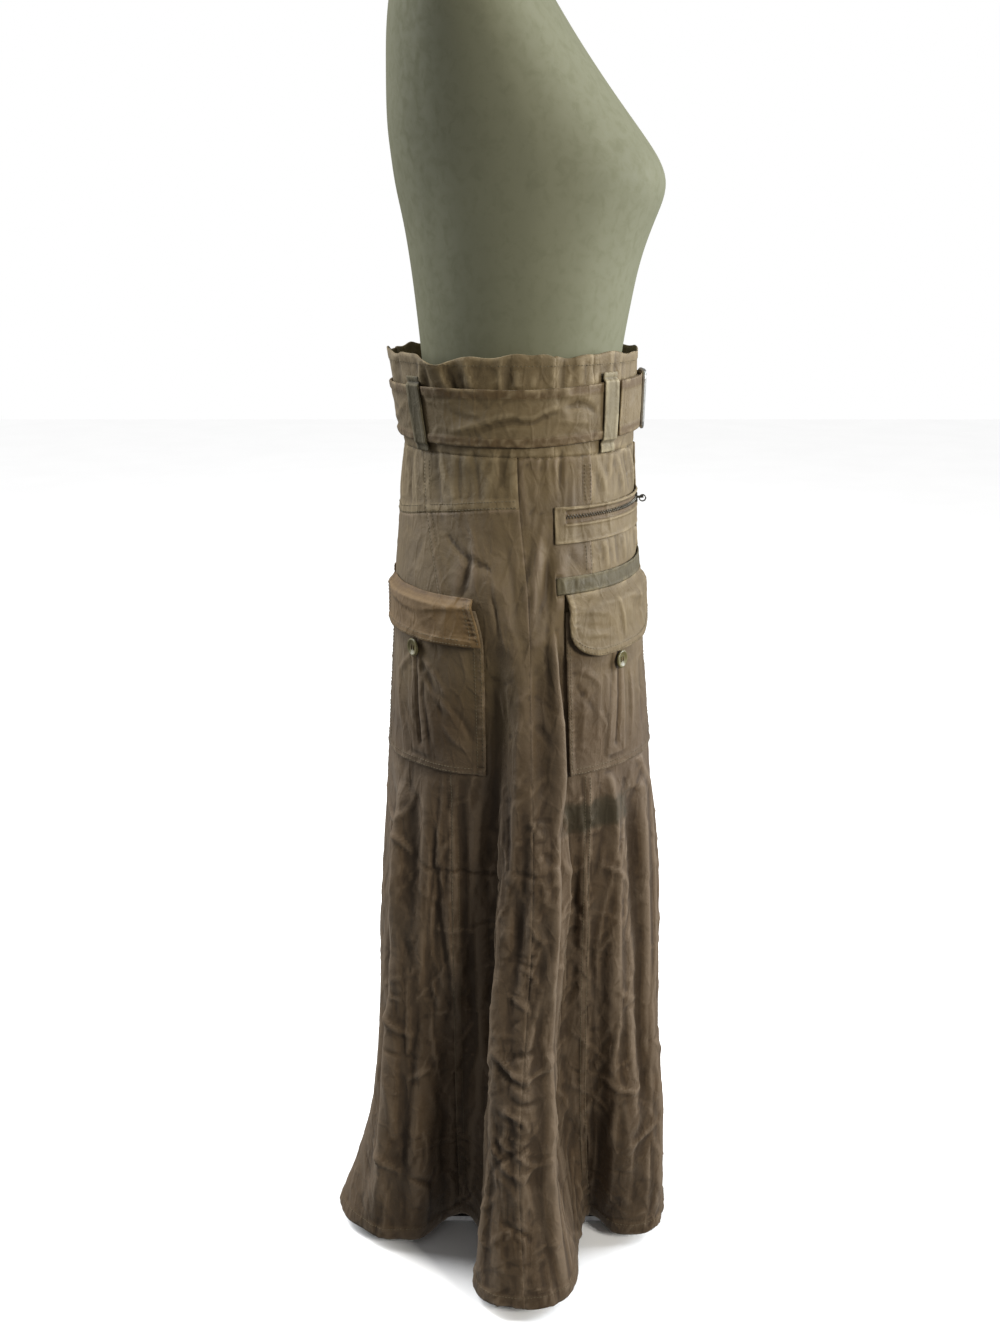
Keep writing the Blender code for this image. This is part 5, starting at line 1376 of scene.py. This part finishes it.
def make_button(name):
    """A four-hole button in its CAD node's place, its holes painted as dark discs of shade, with its thread.
    """
    spots = np.array([vertex.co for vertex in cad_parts[name].data.vertices])
    middle = spots.mean(0)
    _, _, axes = np.linalg.svd(spots - middle)
    outward = Vector(axes[2])
    if outward.x * middle[0] + outward.y * middle[1] < 0:
        outward = -outward
    along = Vector((0, 0, 1)).cross(outward).normalized()
    up = outward.cross(along)
    base = Vector(middle) - outward * BUTTON_SUNK
    turn = Matrix.Translation(base) @ Matrix((along, up, outward)).transposed().to_4x4()
    mesh = bpy.data.meshes.new(name)
    build = bmesh.new()
    rings = []
    for radius, rise in BUTTON_PROFILE:
        angles = [math.tau * k / BUTTON_SIDES for k in range(BUTTON_SIDES if radius else 1)]
        ring = [(radius * math.cos(angle), radius * math.sin(angle), rise) for angle in angles]
        rings.append([build.verts.new(spot) for spot in ring])
    for below, above in zip(rings, rings[1:]):
        for k in range(BUTTON_SIDES):
            a, b = below[k % len(below)], below[(k + 1) % len(below)]
            c, d = above[(k + 1) % len(above)], above[k % len(above)]
            build.faces.new([v for n, v in enumerate((a, b, c, d)) if v not in (a, b, c, d)[:n]])
    build.to_mesh(mesh)
    build.free()
    mesh.transform(turn)
    mesh.shade_smooth()
    dress(add_object(name + "_disc", mesh), "button_plastic", name)
    # Painted shade: dark cloth discs on the button's face stand in for its four holes
    eye_shade_discs = []
    for right, over in EYES:
        spot = turn @ Vector((EYE_OFF * right, EYE_OFF * over, EYE_HIGH))
        eye_shade_discs.append(disc(spot, along, up, outward, EYE_RADIUS, EYE_DEEP))
    dress(join_mesh(name + "_eye_shade_discs", eye_shade_discs), "dark_cloth")
    threads = []
    for off in (-EYE_OFF, EYE_OFF):
        start, end = (turn @ Vector((off, over, THREAD_HIGH)) for over in (-EYE_OFF, EYE_OFF))
        threads.append(bar(start, end, THREAD_RADIUS))
    dress(join_mesh(name + "_thread", threads), "golden_cloth")


def disc(spot, along, up, outward, radius, rise, count=12):
    """A flat closed disc as (points, quads)."""
    points = []
    for lift, size in ((-rise, radius), (rise, radius)):
        for k in range(count):
            angle = math.tau * k / count
            points.append(spot + (along * math.cos(angle) + up * math.sin(angle)) * size + outward * lift)
    faces = [(k, (k + 1) % count, (k + 1) % count + count, k + count) for k in range(count)]
    for k in range(1, count - 1, 2):
        faces.append((count, count + k, count + k + 1, count + (k + 2) % count))
        faces.append((0, (k + 2) % count, k + 1, k))
    return np.array(points), np.array(faces)


def bar(start, end, radius):
    """A short six-sided bar as (points, quads)."""
    axis = (end - start).normalized()
    side = axis.orthogonal().normalized()
    other = axis.cross(side)
    points = []
    for spot in (start, end):
        for k in range(6):
            angle = math.tau * k / 6
            points.append(spot + (side * math.cos(angle) + other * math.sin(angle)) * radius)
    faces = [(k, (k + 1) % 6, (k + 1) % 6 + 6, k + 6) for k in range(6)]
    faces += [(0, 3, 2, 1), (0, 5, 4, 3), (6, 7, 8, 9), (6, 9, 10, 11)]
    return np.array(points), np.array(faces)


def make_trims():
    """The strip above each front flap and the fly placket."""
    rng = np.random.default_rng(41)
    relief = Relief()
    for start, _ in STRIPS.values():
        for place in np.arange(start + 0.06, start + 4.4, 0.115):
            size = rng.uniform(0.4, 1.1)
            end = (place + rng.normal(0, 0.03), STRIP_HIGH - 0.0004)
            relief.crease((place, STRIP_LOW + 0.0004), end, size, 1.9)
    crumples(relief, rng, 30, 0.83, 0.93, 0.5, 11.9, 12.9)

    def strip_lift(place, height):
        hem = 0.0006 * smooth((0.0025 - np.minimum(height - STRIP_LOW, STRIP_HIGH - height)) / 0.0008)
        return SEAM_GAP + CLOTH + hem + np.maximum(relief.at(place, height), 0)

    for side, span in STRIPS.items():
        add_cloth("hip_band_" + side, "dark_cloth", "stretched", "front_upper_" + side, *span,
                  level(STRIP_LOW), level(STRIP_HIGH), strip_lift, 0.0017, 0.0015, 0.0012)

    def fly_lift(place, height):
        edge = np.minimum(place - FLY[0], FLY[1] - place) * speed(place, height)
        return SEAM_GAP + CLOTH + 0.0006 * smooth((0.006 - edge) / 0.001) + relief.at(place, height)

    add_cloth("fly_placket", "khaki_cloth", "hung", "front_upper_left", *FLY, level(FLY_LOW), level(FLY_HIGH),
              fly_lift, 0.0017, 0.0018, 0.0020)


# The zip pockets' slits, the seeds of their draws, and the teeth
SLITS = {"right": (8.0, 11.85), "left": (13.05, 16.0)}
ZIP_SEEDS = {"right": 47, "left": 53}
GROOVE_LOW, GROOVE_MIDDLE, GROOVE_HIGH = 0.8760, 0.8820, 0.8880
TOOTH_PITCH, TOOTH_SHIFT, TOOTH_HALF, TOOTH_RADIUS = 0.0016, 0.0008, 0.0011, 0.00052


def make_zip(side):
    """A pocket patch with a welted slit, its zip tape and teeth."""
    start, end = PATCHES[side]
    low, high = SLITS[side]
    rng = np.random.default_rng(ZIP_SEEDS[side])
    relief = Relief()
    for place in np.arange(start + 0.1, end - 0.05, 0.16):
        tilt = rng.normal(0.0, 0.03)
        relief.crease((place, 0.8600), (place + tilt, 0.8745), rng.uniform(-0.7, 0.9), 2.6)
        relief.crease((place, 0.8885), (place + tilt, 0.8912), rng.uniform(0.0, 0.6), 2.2)

    def groove(place, height):
        inside = smooth((place - low) / 0.03 + 1) * smooth((high - place) / 0.03 + 1)
        return inside, np.maximum(GROOVE_LOW - height, height - GROOVE_HIGH)

    def lift(place, height):
        inside, edge = groove(place, height)
        sunk = smooth(-edge / 0.0008 + 0.5) * inside
        lips = 0.0011 * np.exp(-(((edge - 0.0014) / 0.0013) ** 2)) * inside
        rim = np.minimum(height - PATCH_LOW, PATCH_HIGH - height)
        rim = np.minimum(rim, np.minimum(place - start, end - place) * 0.035)
        sewn = 0.0005 * smooth((0.0022 - rim) / 0.0008)
        return 0.0022 + lips + sewn + relief.at(place, height) * (1 - sunk) - sunk * 0.0012

    def tone(place, height):
        inside, edge = groove(place, height)
        return 1.3 * smooth(0.3 - edge / 0.0012) * inside

    add_cloth("zip_patch_" + side, "khaki_cloth", "stretched", "front_upper_" + side, start, end,
              level(PATCH_LOW), level(PATCH_HIGH), lift, 0.0014, 0.0016, 0.0009, tone=tone)
    teeth = []
    places, _ = even_places(low + 0.02, high - 0.02, GROOVE_MIDDLE, TOOTH_PITCH)
    half = Vector((0, 0, TOOTH_HALF))
    for number, place in enumerate(places):
        rise = TOOTH_SHIFT if number % 2 else -TOOTH_SHIFT
        middle = Vector(cloth(place, GROOVE_MIDDLE + rise, 0.0015))
        teeth.append(bar(middle - half, middle + half, TOOTH_RADIUS))
    dress(join_mesh("zip_teeth_" + side, teeth), "zip_metal")


# Finishes of the nodes that are shown as they are
NODE_FINISHES = {
    "belt_buckle": "buckle_metal",
    "belt_prong": "buckle_metal",
    "zip_pull_right": "zip_metal",
    "zip_slider_right": "zip_metal",
    "zip_pull_left": "zip_metal",
    "zip_slider_left": "zip_metal",
    "form_pole": "stand_metal",
    "form_foot": "stand_metal",
}


def finish_nodes():
    """Gives the buckle, the zip sliders and rings, and the stand their metals."""
    for name, finish in NODE_FINISHES.items():
        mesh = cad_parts[name].data
        mesh.materials.clear()
        mesh.materials.append(MATERIALS[finish])
        if finish == "buckle_metal":
            mesh.shade_smooth()

# The torso's level sections: height, half width, middle and half depth
FORM_RINGS = np.array((
    (0.6620, 0.1020, 0.002, 0.0720), (0.6660, 0.1220, 0.003, 0.0850), (0.6750, 0.1370, 0.003, 0.0950),
    (0.7000, 0.1475, 0.004, 0.1020), (0.7400, 0.1525, 0.005, 0.1070), (0.7900, 0.1540, 0.005, 0.1100),
    (0.8280, 0.1510, 0.004, 0.1090), (0.8560, 0.1457, 0.003, 0.1070), (0.8740, 0.1415, 0.002, 0.1050),
    (0.8900, 0.1382, 0.001, 0.1030), (0.9150, 0.1318, 0.000, 0.0990), (0.9400, 0.1262, -0.001, 0.0965),
    (0.9650, 0.1232, -0.001, 0.0950), (1.0000, 0.1245, -0.001, 0.0975), (1.0310, 0.1275, -0.0015, 0.1005),
    (1.0750, 0.1320, -0.003, 0.1065), (1.1120, 0.1360, -0.0045, 0.1125), (1.1500, 0.1400, -0.008, 0.1220),
    (1.1810, 0.1425, -0.0105, 0.1315), (1.2060, 0.1445, -0.0035, 0.1275), (1.2310, 0.1470, 0.008, 0.1190),
    (1.2750, 0.1530, 0.0255, 0.1015), (1.3230, 0.1600, 0.0420, 0.0830), (1.3600, 0.1600, 0.0510, 0.0680),
    (1.3850, 0.1440, 0.0560, 0.0590), (1.4020, 0.1120, 0.0580, 0.0550), (1.4140, 0.0820, 0.0590, 0.0530),
    (1.4250, 0.0620, 0.0600, 0.0515), (1.4450, 0.0540, 0.0600, 0.0505), (1.4850, 0.0530, 0.0600, 0.0500),
    (1.4900, 0.0490, 0.0600, 0.0460),
))
FORM_STEP, FORM_SIDES, FORM_EASE = 0.006, 104, 18


def form_angles(heights):
    """The angles of the round coordinates at each height, as on the skirt."""
    angles = []
    for height in heights:
        share = smooth((min(height, WAIST_SEAM) - HIP) / (WAIST_SEAM - HIP)) if height > HIP else 0.0
        row = []
        for station in range(ROUND):
            match, sign = (station, -1) if station <= 12 else (ROUND - station, 1)
            waist, hip = STATIONS[match]
            row.append(sign * math.radians(hip + (waist - hip) * share))
        angles.append(row)
    return np.array(angles)


def make_form():
    """The smooth torso, from the rings of its CAD node."""
    low, high = FORM_RINGS[0, 0], FORM_RINGS[-1, 0]
    heights = np.unique(np.round(np.concatenate([np.arange(low, high, FORM_STEP), FORM_RINGS[:, 0]]), 4))
    plain = [np.interp(heights, FORM_RINGS[:, 0], FORM_RINGS[:, k]) for k in (1, 2, 3)]
    fine = np.arange(low, high + 0.001, 0.002)
    kernel = np.exp(-((np.arange(-FORM_EASE, FORM_EASE + 1) / 9.0) ** 2))
    fair = []
    for k in (1, 2, 3):
        padded = np.pad(curve_through(FORM_RINGS[:, 0], FORM_RINGS[:, k], fine), FORM_EASE, mode="edge")
        fair.append(np.interp(heights, fine, np.convolve(padded, kernel / kernel.sum(), mode="valid")))
    blend = smooth((heights - 0.70) / 0.04) * smooth((1.37 - heights) / 0.04)
    count = FORM_SIDES
    places = np.arange(count) * ROUND / count
    angles = form_angles(heights)
    station = np.floor(places).astype(int)
    share = places - station
    around = []
    for table in (np.sin(angles), np.cos(angles)):
        before, start, end, after = (table[:, (station + k) % ROUND] for k in (-1, 0, 1, 2))
        around.append(hermite(start, end, (end - before) / 2, (after - start) / 2, share))
    half, middle, depth = ((f * blend + p * (1 - blend))[:, None] for f, p in zip(fair, plain))
    level_at = np.broadcast_to(heights[:, None], around[0].shape)
    grid = np.stack([around[0] * half, around[1] * depth + middle, level_at], -1)
    rows = len(heights)
    a = np.arange(rows * count).reshape(rows, count)
    b = np.roll(a, -1, axis=1)
    quads = np.stack([a[:-1], b[:-1], b[1:], a[1:]], -1).reshape(-1, 4)
    points = grid.reshape(-1, 3)
    caps = []
    extra = []
    for row, flip in ((0, True), (rows - 1, False)):
        centre = grid[row].mean(0)
        ring = grid[row] * 0.5 + centre * 0.5
        base = rows * count + len(extra) * count
        extra.append(ring)
        inner = base + np.arange(count)
        band = np.stack([a[row], b[row], np.roll(inner, -1), inner], -1)
        hub = np.full(count // 2 - 1, inner[0])
        fan = np.stack([hub, inner[1:-2:2], inner[2:-1:2], inner[3::2]], -1)
        faces = np.concatenate([band, fan])
        caps.append(faces[:, ::-1] if flip else faces)
    mesh = build_mesh("form_body", np.concatenate([points, *extra]), np.concatenate([quads, *caps]))
    dress(add_object("form_body", mesh), "form_shell", "form_torso")


# Area lamps: name, place, aim, size, power and colour
LAMPS = (
    ("front_window", (0.5, -2.6, 1.6), (0.0, -0.05, 0.65), (1.2, 1.8), 125.0, (0.88, 0.93, 1.0)),
    ("back_window", (0.7, 2.7, 1.9), (0.0, 0.05, 0.75), (1.2, 1.8), 75.0, (0.96, 0.98, 1.0)),
    ("room", (-2.0, -2.0, 1.8), (0.0, 0.0, 0.6), (0.8, 0.8), 85.0, (1.0, 0.97, 0.90)),
)
SUN_POWER, SUN_WIDTH, SUN_WAY = 2.75, 22, (-0.35, -0.8, -1.6)
ROOM_LIGHT, BACKDROP_LIGHT = 0.24, 1.0
FLOOR_TONES = (0.955, 0.955, 0.955), (0.97, 0.97, 0.97)
FLOOR_HALF = 9.0
CAMERA_AT, CAMERA_DOWN, CAMERA_LENS = (-1.335, 0.02, 1.10), math.radians(16.8), 35.16


def point_along(item, way):
    """Turns a lamp or the camera to look along a direction."""
    item.rotation_mode = "QUATERNION"
    item.rotation_quaternion = Vector(way).to_track_quat("-Z", "Y")


def make_floor():
    """The pale floor."""
    mesh = bpy.data.meshes.new("floor")
    build = bmesh.new()
    bmesh.ops.create_grid(build, x_segments=2, y_segments=2, size=FLOOR_HALF)
    build.to_mesh(mesh)
    build.free()
    floor = add_object("floor", mesh)
    paint = Nodes("studio_floor")
    tone = paint.mix(paint.ramp(paint.noise(paint.place(), 3.0), 0.3, 0.7), *FLOOR_TONES)
    paint.link(tone, paint.shader.inputs["Base Color"])
    paint.shader.inputs["Roughness"].default_value = 0.9
    mesh.materials.append(paint.material)
    floor.visible_diffuse = False
    floor.visible_glossy = False


def make_world():
    """White surroundings, dimmer as light than as the camera sees them."""
    world = bpy.data.worlds.new("studio")
    world.use_nodes = True
    back = world.node_tree.nodes["Background"]
    back.inputs["Color"].default_value = (1.0, 1.0, 1.0, 1.0)
    path = world.node_tree.nodes.new("ShaderNodeLightPath")
    seen = world.node_tree.nodes.new("ShaderNodeMapRange")
    seen.inputs["To Min"].default_value = ROOM_LIGHT
    seen.inputs["To Max"].default_value = BACKDROP_LIGHT
    world.node_tree.links.new(path.outputs["Is Camera Ray"], seen.inputs["Value"])
    world.node_tree.links.new(seen.outputs["Result"], back.inputs["Strength"])
    bpy.context.scene.world = world
    bpy.context.scene.view_settings.view_transform = "Standard"


def make_lights():
    """Two windows, a room lamp and the sky."""
    for name, place, aim, size, power, colour in LAMPS:
        data = bpy.data.lights.new(name, "AREA")
        data.shape = "RECTANGLE"
        data.size, data.size_y = size
        data.energy, data.color = power, colour
        lamp = add_object(name, data)
        lamp.location = place
        point_along(lamp, Vector(aim) - Vector(place))
    sun = bpy.data.lights.new("sky", "SUN")
    sun.energy, sun.angle = SUN_POWER, math.radians(SUN_WIDTH)
    point_along(add_object("sky", sun), SUN_WAY)


def make_camera():
    """The camera, at the photograph's angle."""
    data = bpy.data.cameras.new("camera")
    data.sensor_width, data.lens = 36.0, CAMERA_LENS
    data.clip_start, data.clip_end = 0.05, 60.0
    camera = add_object("camera", data)
    camera.location = CAMERA_AT
    point_along(camera, (math.cos(CAMERA_DOWN), 0.0, -math.sin(CAMERA_DOWN)))
    bpy.context.scene.camera = camera


# Heights between which the seams' stitches show: where pockets lie over a seam, and elsewhere
POCKET_WINDOWS = ((0.03, 0.625), (0.808, 0.812), (0.83, 0.857), (0.893, 0.934))
OPEN_WINDOWS = ((0.03, 0.934),)
POCKET_SEAMS = (9, 15)
YOKE_SPANS = ((0.02, 2.95), (3.2, 5.95), (18.05, 20.8), (21.05, 23.98))


def make_stitching():
    """Rows of stitches along the seams and hems."""
    rows = []
    for seam, side in SIDE_SEAMS:
        for off in (0.0014, 0.0072):
            heights = np.arange(0.03, 0.934, 0.002)
            places = seam + side * off / speed(np.full(len(heights), float(seam)), heights)
            for low, high in POCKET_WINDOWS if seam in POCKET_SEAMS else OPEN_WINDOWS:
                inside = (heights > low) & (heights < high)
                if inside.sum() > 3:
                    rows.append(stitch_row(places[inside], heights[inside], body_lift))
    for start, end in YOKE_SPANS:
        places = np.arange(start, end, 0.04)
        for off in (0.0016, 0.0076):
            rows.append(stitch_row(places, yoke_line(places) + off, body_lift))
    places = np.arange(0.0, ROUND, 0.04)
    for height in (HEM + 0.019, 1.0195):
        rows.append(stitch_row(places, np.full(len(places), height), body_lift))
    return rows


def cargo_rows(start, end, bag_lift, flap_lift, flap_edge, flap_high):
    """Rows of stitches round a bag's three sewn edges and round its flap."""
    rows = []
    pace = float(speed((start + end) / 2, 0.7))
    flap_low = float(flap_edge(np.array([start]))[0])
    for off in (0.0016, 0.0062):
        near = off / pace
        heights = np.arange(BAG_LOW + off, 0.766, 0.002)
        for place in (start + near, end - near):
            rows.append(stitch_row(np.full(len(heights), place), heights, bag_lift))
        places = np.arange(start + near, end - near, 0.03)
        rows.append(stitch_row(places, np.full(len(places), BAG_LOW + off), bag_lift))
        places = np.arange(start + 2.2 * near, end - 2.2 * near, 0.02)
        rows.append(stitch_row(places, flap_edge(places) + off, flap_lift))
        if flap_low < flap_high - 0.04:
            heights = np.arange(flap_low + off, flap_high - 0.001, 0.002)
            for place in (start + near, end - near):
                rows.append(stitch_row(np.full(len(heights), place), heights, flap_lift))
    return rows


def main():
    make_form()
    make_body()
    make_belt()
    pocket_rows = []
    for side in ("right", "left"):
        for name, span, *facts in CARGOS:
            pocket_rows += make_cargo(name, side, *span_on(side, *span), *facts)
    make_trims()
    for side in ("right", "left"):
        make_zip(side)
    finish_nodes()
    dress(join_mesh("seam_stitching", make_stitching()), "light_cloth")
    dress(join_mesh("pocket_stitching", pocket_rows), "light_cloth")
    make_floor()
    make_world()
    make_lights()
    make_camera()


main()
